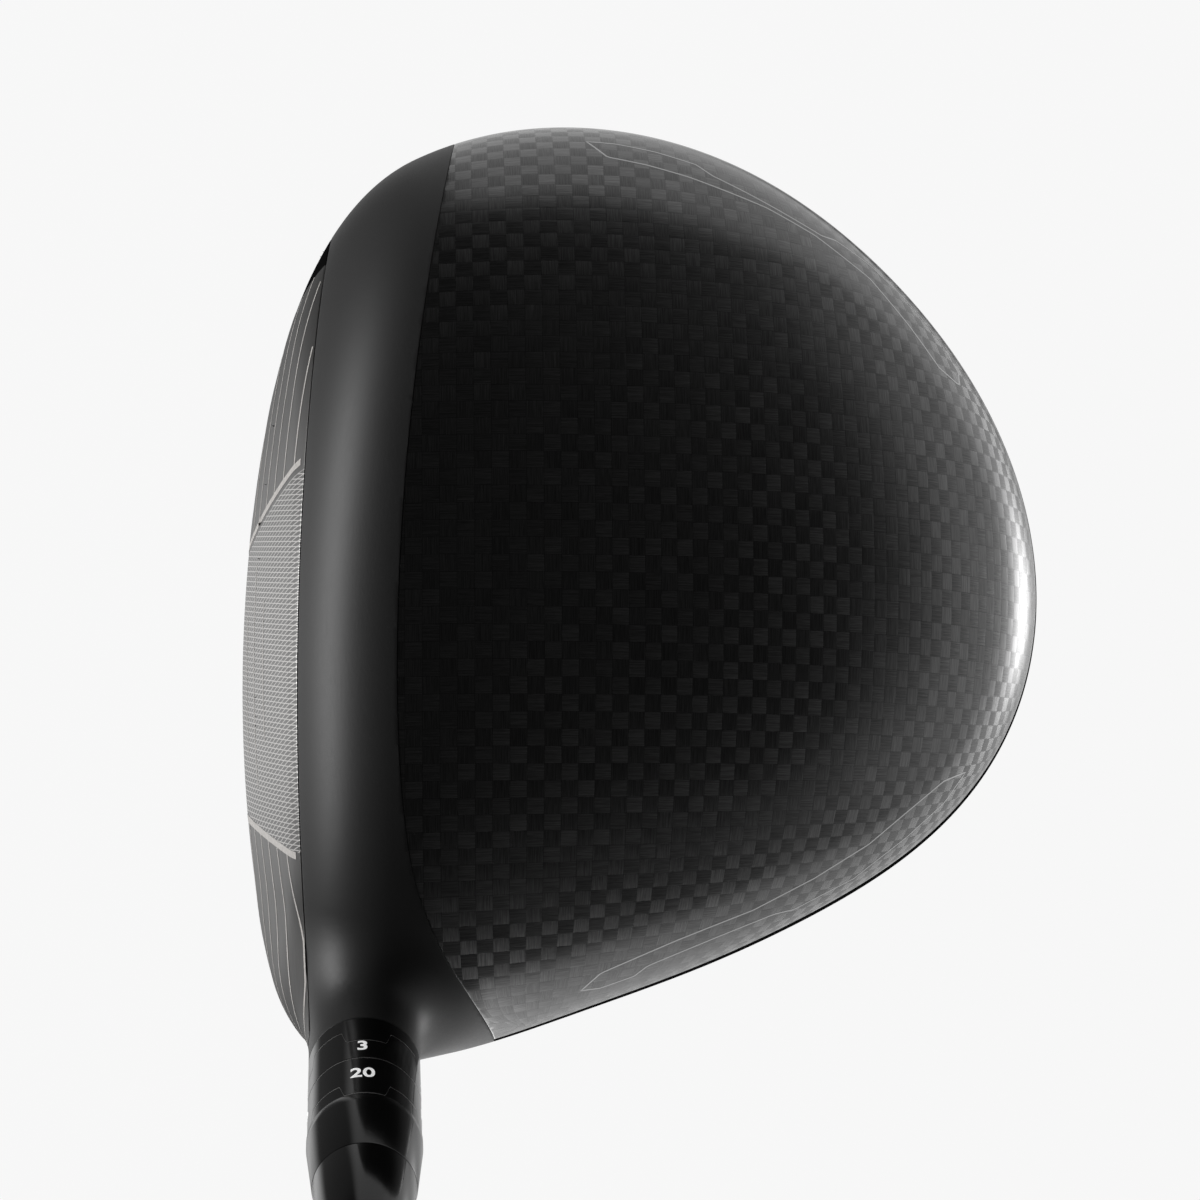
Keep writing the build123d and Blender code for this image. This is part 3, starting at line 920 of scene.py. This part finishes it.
def lay_cloth(piece):
    """Stores where each point lies in the cloth, and the warp's direction there."""
    count = len(piece.data.vertices)
    co = np.empty(count * 3)
    piece.data.vertices.foreach_get("co", co)
    p = co.reshape(-1, 3) / MM
    back = bilinear(ARC_Y, p[:, 0], p[:, 1]) - PLAN_CENTRE[1]
    back += CLOTH_PULL * np.maximum(back, 0.0) ** 2
    cloth = np.column_stack([bilinear(ARC_X, p[:, 0], p[:, 1]), back, np.zeros(count)]) / TOW_WIDTH
    normal = head_normal(p)
    warp = np.array([1.0, 0.0, 0.0]) - normal * normal[:, :1]
    warp /= np.maximum(np.linalg.norm(warp, axis=1), 1e-6)[:, None]
    for name, value in (("cloth", cloth), ("warp", warp)):
        layer = piece.data.attributes.new(name, "FLOAT_VECTOR", "POINT")
        layer.data.foreach_set("vector", value.astype(np.float32).ravel())


# ------------ head panels
points, quads = surface_net((-96.5, -21.0, -2.5), (40.5, 91.0, 67.5), CELL)
points = relax(project(points), quads, 4)
net = (points, np.concatenate([quads[:, [0, 1, 2]], quads[:, [0, 2, 3]]]))
net = clip(net, rim_field, -0.2)

rear = clip(net, negative(seam_field), -GROOVE)
front = clip(net, seam_field, -GROOVE)
crown = clip(rear, negative(crown_edge_field), -GROOVE)
below = clip(rear, crown_edge_field, -GROOVE)
skirt = clip(below, negative(band_field(SKIRT_BOTTOM)), -GROOVE)
sole = clip(below, band_field(SKIRT_BOTTOM), -GROOVE)
spine = clip(clip(sole, spine_field, -GROOVE), negative(weight_field(8.2)))
panels = clip(sole, negative(spine_field), -GROOVE)
face = clip(front, face_plate_field, -GROOVE)
casting = clip(clip(front, negative(face_plate_field), -GROOVE), negative(screw_field(4.4)))

lay_cloth(add_part("crown_shell", skin(crown, WALL), M_CARBON, "head", "carbon_clear", "crown_panel"))
add_part("skirt_band", skin(skirt, WALL), M_SKIRT, "head", "charcoal_titanium", "skirt_ring")
add_part("sole_bridge", skin(spine, WALL), M_BODY, "head", "satin_alloy", "sole_spine")
for side, half in (("toe", lambda p: p[..., 0] - SPINE_X), ("heel", lambda p: SPINE_X - p[..., 0])):
    panel = skin(clip(panels, half), WALL)
    lay_cloth(add_part("sole_" + side, panel, M_CARBON, "head", "carbon_clear", "sole_panel_" + side))
add_part("striking_face", skin(face, FACE_WALL), M_FACE, "head", "satin_titanium", "face_plate")
add_part("front_casting", skin(casting, WALL), M_BODY, "head", "charcoal_titanium", "front_body")


# ------------ hosel bore, screw seat and weight port
def surface_start(radius, base, axis, side, steps, near, far):
    """For each step round an axis, how far along it a cylinder about it meets the head's surface."""
    spoke = spokes(steps, axis, side)
    low = np.full(steps, near)
    high = np.full(steps, far)
    return head_edge(lambda s: base + axis * s[:, None] + spoke * radius, low, high)


def mouth(radius, base, axis, side, steps, near, far):
    """Rings of the rounded edge where a hole opens in the head's surface."""
    inward = math.copysign(1.0, near - far)
    inner = surface_start(radius, base, axis, side, steps, near, far)
    outer = surface_start(radius + 0.14, base, axis, side, steps, near, far)
    return [(radius + 0.14, outer + inward * 0.02), (radius + 0.04, inner + inward * 0.04),
            (radius, inner + inward * 0.14)]


PORT_STEPS = 96
opening = mouth(SCREW_ACCESS_R, np.zeros(3), AXIS, SIDE, PORT_STEPS, 12.0, -14.0)
tube_end = opening[0][1] + 1.4
liner = [(6.3, tube_end), (6.3, 50.0), (6.5, 59.3), (6.80, 59.80), (6.74, 59.95), (6.6, 60.0), (5.85, 60.0),
         (5.75, 59.9), (5.75, 58.3), (4.94, 58.3), (SLEEVE_BORE_R, 58.2), (SLEEVE_BORE_R, 19.0), (2.75, 19.0),
         (2.75, 15.0), (SCREW_ACCESS_R, 15.0)]
liner += list(reversed(opening))
add_part("hosel_liner", revolve(liner, PORT_STEPS, close=True), M_BODY, "head", "charcoal_titanium")

WEIGHT_SIDE = np.array([1.0, 0.0, 0.0])


def about_weight(rings, close=True):
    return revolve(rings, PORT_STEPS, WEIGHT_CENTRE, WEIGHT_AXIS, WEIGHT_SIDE, close)


opening = mouth(PORT_R, WEIGHT_CENTRE, WEIGHT_AXIS, WEIGHT_SIDE, PORT_STEPS, -4.0, 6.0)
cup = opening + [(PORT_R, -6.0), (2.04, -6.0), (2.04, -13.6), (10.0, -13.6), (10.0, opening[0][1] - 1.4)]
add_part("weight_port", about_weight(cup), M_BODY, "head", "satin_alloy")


def lobed_radius(radius, steps):
    """Radius of a six-lobed driver recess for each step around it."""
    turn = np.radians(turn_angles(steps))
    centre = 0.74 * radius
    lobe = 0.26 * radius
    off = np.abs((turn + math.pi / 6) % (math.pi / 3) - math.pi / 6)
    inside = lobe**2 - (centre * np.sin(off)) ** 2
    return np.where(inside > 0, centre * np.cos(off) + np.sqrt(np.maximum(inside, 0)), centre)


def thread(crest, root, start, pitch, rise, turns):
    """Rings of a threaded stretch, drawn as even grooves."""
    rings = []
    for k in range(turns):
        level = start + k * pitch
        rings += [(crest, level), (root, level + rise)]
    return rings


recess = lobed_radius(2.25, PORT_STEPS)
screw = [(0, 12.4), (recess, 12.4), (recess, 9.55), (recess + 0.12, 9.4), (3.7, 9.4), (3.93, 9.5),
         (4.0, 9.75), (4.0, 14.0), (3.8, 14.2), (2.5, 14.2)]
screw += thread(2.5, 2.28, 20.0, 0.53, 0.27, 24)
screw += [(2.5, 33.1), (2.1, 33.6), (0, 33.6)]
add_part("pull_screw", revolve(screw, PORT_STEPS), M_SCREW, "hosel_screw", "screw_steel", "hosel_screw")
washer = rounded([(2.6, 14.2), (4.1, 14.2), (4.1, 15.0), (2.6, 15.0)], 0.12)
add_part("seat_washer", revolve(washer, PORT_STEPS, close=True), M_SCREW, "head", "screw_steel",
         "screw_washer")

disc = rounded([(3.6, -1.2), (3.6, -3.6), (2.2, -3.6), (2.2, -5.9), (8.0, -5.9), (8.0, -1.2), (7.3, -1.2),
                (7.1, -1.4), (4.9, -1.4), (4.7, -1.2)][::-1], 0.15)
add_part("tail_weight", about_weight(disc), M_WEIGHT, "rear_weight", "tungsten", "rear_weight")
recess = lobed_radius(1.95, PORT_STEPS)
bolt = [(0, -2.9), (recess, -2.9), (recess, -1.6), (recess + 0.08, -1.5), (3.15, -1.5), (3.35, -1.58),
        (3.4, -1.75), (3.4, -3.5), (3.3, -3.6), (2.0, -3.6)]
bolt += thread(2.0, 1.8, -5.0, -0.55, -0.28, 12)
bolt += [(2.0, -12.2), (1.7, -12.5), (0, -12.5)]
add_part("tail_weight_screw", about_weight(bolt, close=False), M_WEIGHT_SCREW, "rear_weight_screw",
         "screw_steel", "rear_weight_screw")


# ------------ adapter, setting rings and ferrule
RING_STEPS = 360
RING_SHARP = math.radians(35)
TOOTH_WIDTH = 47.0
TOOTH_RAMP = 7.0           # degrees over which a tooth rises or falls
STEP_HALF = 0.07           # half the height of the bare edge between two bands


def teeth(start, low, high):
    """Level of a toothed joint line round a ring: high for a tooth's width, then low, four times."""
    phase = (turn_angles(RING_STEPS) - start) % 90.0
    rise = np.clip(phase / TOOTH_RAMP, 0, 1)
    fall = np.clip((phase - TOOTH_WIDTH) / TOOTH_RAMP, 0, 1)
    rise = rise * rise * (3 - 2 * rise)
    fall = fall * fall * (3 - 2 * fall)
    return low + (high - low) * (rise - fall)


def ring_band(name, body, low, high, material, chamfer_low, chamfer_high):
    """Band of a setting ring between two joint lines, its outer edges rounded."""
    rings = [(SLEEVE_BORE_R, low), (HOSEL_R - chamfer_low, low),
             (HOSEL_R - chamfer_low * 0.3, low + chamfer_low * 0.3),
             (HOSEL_R, low + chamfer_low), (HOSEL_R, low + chamfer_low + 0.05),
             (HOSEL_R, high - chamfer_high - 0.05), (HOSEL_R, high - chamfer_high),
             (HOSEL_R - chamfer_high * 0.3, high - chamfer_high * 0.3),
             (HOSEL_R - chamfer_high, high), (SLEEVE_BORE_R, high)]
    mesh = revolve(rings, RING_STEPS, close=True)
    add_part(name, mesh, material, body, "black_anodised", body, sharp=RING_SHARP)


def joint_line(name, body, low, high):
    """Bare edge showing between two bands."""
    rings = [(5.2, low), (HOSEL_R - 0.02, low), (HOSEL_R - 0.02, high), (5.2, high)]
    add_part(name, revolve(rings, RING_STEPS, close=True), M_EDGE, body, "black_anodised", sharp=RING_SHARP)


step_line = teeth(-29.0, 62.95, 65.65)
ring_band("lie_ring_foot", "lie_ring", 60.05, step_line - STEP_HALF, M_RING, 0.06, 0.03)
joint_line("lie_ring_step", "lie_ring", step_line - STEP_HALF, step_line + STEP_HALF)
ring_band("lie_ring_dial", "lie_ring", step_line + STEP_HALF, RING_SPLIT - 0.025, M_RING, 0.03, 0.03)
joint_line("loft_ring_edge", "loft_ring", RING_SPLIT + 0.025, RING_SPLIT + 0.17)
step_line = teeth(-27.0, 76.15, 78.7)
ring_band("loft_ring_dial", "loft_ring", RING_SPLIT + 0.17, step_line - STEP_HALF, M_RING, 0.03, 0.03)
joint_line("loft_ring_step", "loft_ring", step_line - STEP_HALF, step_line + STEP_HALF)
ring_band("loft_ring_head", "loft_ring", step_line + STEP_HALF, 78.95, M_COLLAR, 0.03, 0.01)

SLEEVE_STEPS = 180
sleeve = [(0, 36.0), (2.53, 36.0), (2.53, 24.2), (2.7, 24.0), (4.6, 24.0), (4.8, 24.3), (4.8, 58.65),
          (4.45, 58.65),
          (4.45, 59.7), (4.8, 59.7), (4.8, 79.0), (6.94, 79.0), (6.95, 79.02), (6.95, 80.5), (6.24, 89.36),
          (6.21, 89.46), (6.14, 89.5), (4.25, 89.5), (4.25, 38.0), (0, 38.0)]
add_part("adapter_body", revolve(sleeve, SLEEVE_STEPS), M_COLLAR, "shaft_assembly", "black_anodised",
         "adapter_sleeve")

ferrule = [(4.25, 89.5), (6.12, 89.5), (6.18, 89.54), (6.19, 89.62), (4.82, 100.9), (4.78, 101.0),
           (4.25, 101.0)]
add_part("shaft_ferrule", revolve(ferrule, SLEEVE_STEPS, close=True), M_FERRULE, "shaft_assembly",
         "ferrule_plastic", "ferrule")
lip = rounded([(4.25, 101.0), (4.76, 101.0), (4.6, 101.48), (4.25, 101.48)], 0.1)
add_part("ferrule_lip", revolve(lip, SLEEVE_STEPS, close=True), M_LIP, "shaft_assembly", "ferrule_plastic")

clip_profile = rounded([(4.5, 58.7), (5.6, 58.7), (5.6, 59.65), (4.5, 59.65)], 0.12)


def open_ring(profile, steps, half_gap):
    """Ring with a gap towards the toe side, for the spring clip."""
    other = np.cross(AXIS, SIDE)
    turn = np.linspace(half_gap, 2 * math.pi - half_gap, steps)
    spoke = -np.cos(turn)[:, None] * SIDE - np.sin(turn)[:, None] * other
    rows = [AXIS * s + spoke * r for r, s in profile]
    points = np.concatenate(rows)
    n = len(profile)
    faces = []
    for i in range(n):
        j = (i + 1) % n
        for k in range(steps - 1):
            faces.append((i * steps + k, i * steps + k + 1, j * steps + k + 1, j * steps + k))
    faces.append([i * steps for i in range(n)][::-1])
    faces.append([i * steps + steps - 1 for i in range(n)])
    return points, faces


add_part("spring_clip", open_ring(clip_profile, 90, 0.34), M_SCREW, "shaft_assembly", "screw_steel",
         "ring_clip")


# ------------ dial numbers on the rings
def dial_mark(text, height, level, angle):
    """Number lying on a ring: the built-in letter form, cut fine, wrapped round and given a thickness."""
    curve = bpy.data.curves.new("mark", "FONT")
    curve.body = text
    curve.size = height / 0.72
    curve.align_x = "CENTER"
    curve.offset = 0.05
    curve.resolution_u = 6
    holder = bpy.data.objects.new("mark", curve)
    bpy.context.scene.collection.objects.link(holder)
    bpy.context.view_layer.update()
    data = bpy.data.meshes.new_from_object(holder.evaluated_get(bpy.context.evaluated_depsgraph_get()))
    bpy.data.objects.remove(holder)
    work = bmesh.new()
    work.from_mesh(data)
    bpy.data.meshes.remove(data)
    bmesh.ops.remove_doubles(work, verts=work.verts[:], dist=1e-4)
    for cut in np.arange(-4.0, 4.01, 0.25):
        parts = work.verts[:] + work.edges[:] + work.faces[:]
        bmesh.ops.bisect_plane(work, geom=parts, plane_co=(cut, 0, 0), plane_no=(1, 0, 0))
    solid = bmesh.ops.extrude_face_region(work, geom=work.faces[:])
    for v in solid["geom"]:
        if isinstance(v, bmesh.types.BMVert):
            v.co.z += 0.1
    bmesh.ops.recalc_face_normals(work, faces=work.faces[:])
    other = np.cross(AXIS, SIDE)
    points = []
    for v in work.verts:
        turn = math.radians(angle) - v.co.x / HOSEL_R
        spoke = math.cos(turn) * SIDE + math.sin(turn) * other
        points.append(AXIS * (level - v.co.y) + spoke * (HOSEL_R - 0.06 + v.co.z))
    work.verts.index_update()
    faces = []
    for f in work.faces:
        corners = [v.index for v in f.verts]
        first = corners.index(min(corners))
        faces.append(corners[first:] + corners[:first])
    work.free()
    return np.array(points), sorted(faces)


NUMBER_HEIGHT = 2.2
FIRST_NUMBER = 2.0         # degrees round the shaft from its side vector
for body, level, numbers in (("lie_ring", 68.1, ("3", "4", "1", "2")),
                             ("loft_ring", 74.8, ("20", "30", "40", "10"))):
    marks = [dial_mark(n, NUMBER_HEIGHT, level, FIRST_NUMBER + 90.0 * k) for k, n in enumerate(numbers)]
    add_part(body + "_numbers", joined(marks), M_MARK, body, "black_anodised")


# ------------ face lines and crown pinstripes
def trimmed(path, field, limit):
    return path[field(path) < limit]


def toe_boundary(z):
    return -36.0 - 0.12 * z - 0.0006 * z * z


def heel_boundary(z):
    return -6.2 + 0.20 * z + 0.0010 * z * z


strips = []
for k in range(7):          # long lines, left out of the hatched middle
    z = 17.6 + 5.2 * k
    for start, end in ((-61.0 - 0.25 * z, toe_boundary(z) - 0.3), (heel_boundary(z) + 0.3, 34.0)):
        at = np.append(np.arange(start, end, 1.0), end)
        drop = 0.016 * k * np.maximum(toe_boundary(z) - at, 0.0)
        line = face_points(np.column_stack([at, z - drop]))
        line = trimmed(line, face_plate_field, -0.2)
        if len(line) > 3:
            strips.append(ribbon(line, 0.40))
for edge in (toe_boundary, heel_boundary):
    levels = np.arange(12.0, 56.0, 1.0)
    line = trimmed(face_points([(edge(z), z) for z in levels]), face_plate_field, -0.3)
    strips.append(ribbon(line, 0.9, proud=0.035))
for z, start, end in ((36.0, -28.4, -10.2), (29.0, -34.3, -4.6), (22.2, -28.5, -10.3)):
    strips.append(ribbon(face_points([(x, z) for x in np.arange(start, end, 1.0)]), 0.4))
add_part("face_lines", joined(strips), M_LINE, "head", "satin_titanium")

STRIPE_TOE = [(-86.8, 28.5), (-84, 31), (-83, 36), (-81.5, 41.5), (-78, 51.5), (-74.8, 57.8), (-69.5, 65),
              (-63.5, 69.8), (-57.8, 73.8), (-56, 76.6), (-58, 76.8), (-62.7, 74.4), (-67.5, 70.4),
              (-72.2, 65.2), (-74.8, 60.8), (-75.0, 58.8), (-80, 49.2), (-82.3, 44.6), (-84, 42.6),
              (-85.6, 37.3), (-86.6, 32.2)]
STRIPE_HEEL = [(21.4, 27.4), (19.4, 29.8), (15.4, 39.3), (11.5, 49.2), (7.5, 57), (3.2, 64), (-1.6, 69.8),
               (-4.9, 73.8), (-6.4, 77), (-2.6, 74.3), (1.8, 69.4), (7, 62.6), (11.0, 54.8), (11.7, 52.2),
               (14.8, 44.5), (18.3, 35.9), (19.5, 34.2), (21, 29.9)]
stripes = []
for outline in (STRIPE_TOE, STRIPE_HEEL):
    path = even_path(outline, 0.6, closed=True)
    stripes.append(ribbon(crown_points(path), 0.26, closed=True, proud=0.02))
add_part("crown_pinstripes", joined(stripes), M_STRIPE, "head", "carbon_clear")


# ------------ shaft and grip
TIP_R = 4.25
TAPER_START = 130.0
BUTT = 1149.0
TUBE_STEPS = 64
TAPE_START = 892.0
TAPE = 0.25


def shaft_radius(s):
    return TIP_R + 3.37 * max(0.0, (s - TAPER_START) / (BUTT - TAPER_START))


levels = [38.0, 60.0, 101.0, TAPER_START]
levels += [TAPER_START + (BUTT - TAPER_START) * k / 24 for k in range(1, 25)]
tube = [(shaft_radius(s), s) for s in levels] + [(shaft_radius(s) - 1.2, s) for s in reversed(levels)]
add_part("shaft_tube", revolve(tube, TUBE_STEPS, close=True), M_SHAFT, "shaft_assembly", "shaft_graphite",
         "shaft")
plug = [(0, 38.0), (2.9, 38.0), (3.04, 38.2), (3.04, 45.8), (2.9, 46.0), (0, 46.0)]
add_part("shaft_plug", revolve(plug, TUBE_STEPS), M_NYLON, "shaft_assembly", "nylon", "tip_plug")
tape = [(shaft_radius(TAPE_START), TAPE_START), (shaft_radius(TAPE_START) + TAPE, TAPE_START),
        (shaft_radius(BUTT) + TAPE, BUTT), (shaft_radius(BUTT), BUTT)]
add_part("grip_underlay", revolve(tape, TUBE_STEPS, close=True), M_TAPE, "shaft_assembly", "tape",
         "grip_tape")


def grip_radius(s):
    return np.interp(s, [888, 889, 1008, 1131, 1149], [8.0, 8.6, 10.5, 12.3, 13.0])


GRIP_STEPS = 120
GRIP_START = 888.0
BAND = 14.0                # length of one patterned band of the grip, with the plain groove beside it
BAND_START = 893.0
levels = np.concatenate([[GRIP_START, 888.4, 889.0], np.arange(890.0, 1148.0, 0.75), [1148.2, BUTT]])
turn = turn_angles(GRIP_STEPS)
rows = []
for s in levels:
    along = s - BAND_START - BAND * math.floor((s - BAND_START) / BAND)
    patterned = 900 < s < 1141
    raised = patterned and min(along, BAND - along) > 1.4
    lattice = np.abs(((turn / 15.0 + s / 4.0) % 1.0) - 0.5) + np.abs(((turn / 15.0 - s / 4.0) % 1.0) - 0.5)
    groove = np.where(lattice > 0.62, 1.0, 0.0) * raised
    rows.append((grip_radius(s) - 0.30 * (patterned and not raised) - 0.22 * groove, s))
inner = [(shaft_radius(BUTT) + TAPE, BUTT), (shaft_radius(TAPE_START) + TAPE, TAPE_START),
         (shaft_radius(TAPE_START), TAPE_START), (shaft_radius(GRIP_START), GRIP_START)]
add_part("grip_sleeve", revolve(rows + inner, GRIP_STEPS, close=True), M_RUBBER, "shaft_assembly",
         "grip_rubber", "grip")
cap = rounded([(1.6, BUTT), (13.0, BUTT), (13.2, 1150.5), (12.8, 1153.0), (11.0, 1155.1), (8.2, 1155.7),
               (6.6, 1155.7), (6.2, 1155.2), (4.4, 1155.2), (4.0, 1155.7), (1.6, 1155.7)], 0.4)
add_part("grip_end_cap", revolve(cap, GRIP_STEPS, close=True), M_CAP, "shaft_assembly", "grip_rubber",
         "grip_cap")


# ------------ floor, light and camera
CAMERA_DISTANCE = 0.6      # metres
PALE = 0.93                # brightness of floor and backdrop
CEILING = 0.022            # the dimmest level, added in every direction
TAIL_BANK = 0.48           # brightness of the wide soft light behind the tail
TAIL_GLOW = 5.5            # brightness of the lamp low within it
TAIL_SPREAD = 80.0         # the larger, the smaller that lamp


def add_floor():
    """Pale floor, in metres; what it would send back to the club comes from the studio backdrop instead."""
    s = Shader("pale_floor")
    s.set(Base_Color=grey(0.01), Roughness=1.0, Specular_IOR_Level=0.0, Emission_Color=grey(1.0),
          Emission_Strength=PALE)
    data = bpy.data.meshes.new("floor")
    data.from_pydata([(-8, -8, 0), (8, -8, 0), (8, 8, 0), (-8, 8, 0)], [], [(0, 1, 2, 3)])
    data.materials.append(s.material)
    floor = bpy.data.objects.new("floor", data)
    bpy.context.scene.collection.objects.link(floor)
    floor.visible_diffuse = False
    floor.visible_glossy = False
    floor.visible_shadow = False


def add_panel(name, centre, aim, width, height, radiance):
    """Soft rectangular light of a given brightness, aimed at a point; lengths in metres."""
    light = bpy.data.lights.new(name, "AREA")
    light.shape = "RECTANGLE"
    light.size = width
    light.size_y = height
    light.energy = radiance * math.pi * width * height
    piece = bpy.data.objects.new(name, light)
    bpy.context.scene.collection.objects.link(piece)
    piece.location = centre
    piece.rotation_euler = (Vector(aim) - Vector(centre)).to_track_quat("-Z", "Y").to_euler()
    piece.visible_camera = False
    return piece


def spare(light, *names):
    """Flags the light off some pieces, as a black card between them would."""
    group = bpy.data.collections.new(light.name + "_flagged")
    for name in names:
        group.objects.link(bpy.data.objects[name])
    for link in group.collection_objects:
        link.light_linking.link_state = "EXCLUDE"
    light.light_linking.receiver_collection = group


def add_camera():
    tilt_heel = math.radians(9.0)
    tilt_face = math.radians(3.02)
    look = Vector((-math.sin(tilt_heel), math.sin(tilt_face) * math.cos(tilt_heel),
                   -math.cos(tilt_heel) * math.cos(tilt_face))).normalized()
    right = Vector((0, 1, 0))
    right = (right - look * right.dot(look)).normalized()
    up = right.cross(look)
    target = Vector((-29.5, 30.5, 30.0)) * MM
    data = bpy.data.cameras.new("camera")
    data.sensor_width = 36.0
    data.lens = 139.02
    data.clip_start = 0.01
    camera = bpy.data.objects.new("camera", data)
    bpy.context.scene.collection.objects.link(camera)
    camera.matrix_world = Matrix((right, up, -look)).transposed().to_4x4()
    camera.location = target - look * CAMERA_DISTANCE
    bpy.context.scene.camera = camera


def add_world():
    """Soft studio all round: pale backdrop for the camera, dim ceiling, bright below a soft horizon."""
    world = bpy.data.worlds.new("studio")
    world.use_nodes = True
    w = Wiring(world.node_tree)
    direction = w.node("TexCoord", "Generated")
    x, y, z = w.split(direction)
    flat = w.math("SQRT", 1.0001 - z * z)
    toe_side = w.math("DIVIDE", w.vector("DOT_PRODUCT", direction, (-0.985, 0.174, 0.0)), flat)
    horizon = w.ramp(toe_side, 0.82, 0.98, 0.03, 0.3) - w.ramp(x, 0.1, 0.6, 0.0, 0.17)
    depth = w.ramp(y, 0.45, 0.95, 0.30, 0.60)
    ground = w.ramp(z, horizon - depth, horizon, 1.0, 0.0)
    frontal = w.ramp(y, -0.35, -0.15, 1.0, 0.0)
    steep = w.ramp(z, -0.9, -0.8, 1.0, 0.0) * w.ramp(y, 0.08, 0.25)
    steep = steep * w.ramp(x, -0.25, -0.1, 1.0, 0.0)
    beam = w.ramp(w.math("ABSOLUTE", x + 0.12), 0.04, 0.26, 0.0, 0.92)
    shade = 1.0 - w.math("MAXIMUM", frontal, steep) * beam
    level = w.ramp(y, 0.45, 0.95, 0.57, 1.0) + w.ramp(y, -0.4, -0.15, 0.43, 0.0)
    level = level + w.ramp(w.math("DIVIDE", x, flat), 0.9, 0.99, 0.0, 1.6)
    ground = ground * shade * (level * PALE)
    bank = w.ramp(y, 0.45, 0.95) * w.ramp(z, 0.0, 0.6, TAIL_BANK, 0.0)
    towards = w.vector("DOT_PRODUCT", direction, (-0.081, 0.773, -0.629))
    lobe = w.math("EXPONENT", (towards - 1.0) * TAIL_SPREAD)
    light = w.math("MAXIMUM", ground, bank) + lobe * TAIL_GLOW
    light = light + CEILING
    seen = w.node("LightPath", "Is Camera Ray")
    strength = seen * PALE + (1.0 - seen) * light
    background = w.tree.nodes["Background"]
    w.feed(background.inputs["Color"], grey(1.0))
    w.feed(background.inputs["Strength"], strength)
    bpy.context.scene.world = world


add_floor()
add_world()
key = add_panel("key", (-0.14, -0.85, 0.20), (-0.03, 0.0, 0.04), 0.86, 0.30, 8.0)
spare(key, "crown_shell")
add_camera()
bpy.context.scene.view_settings.view_transform = "Standard"
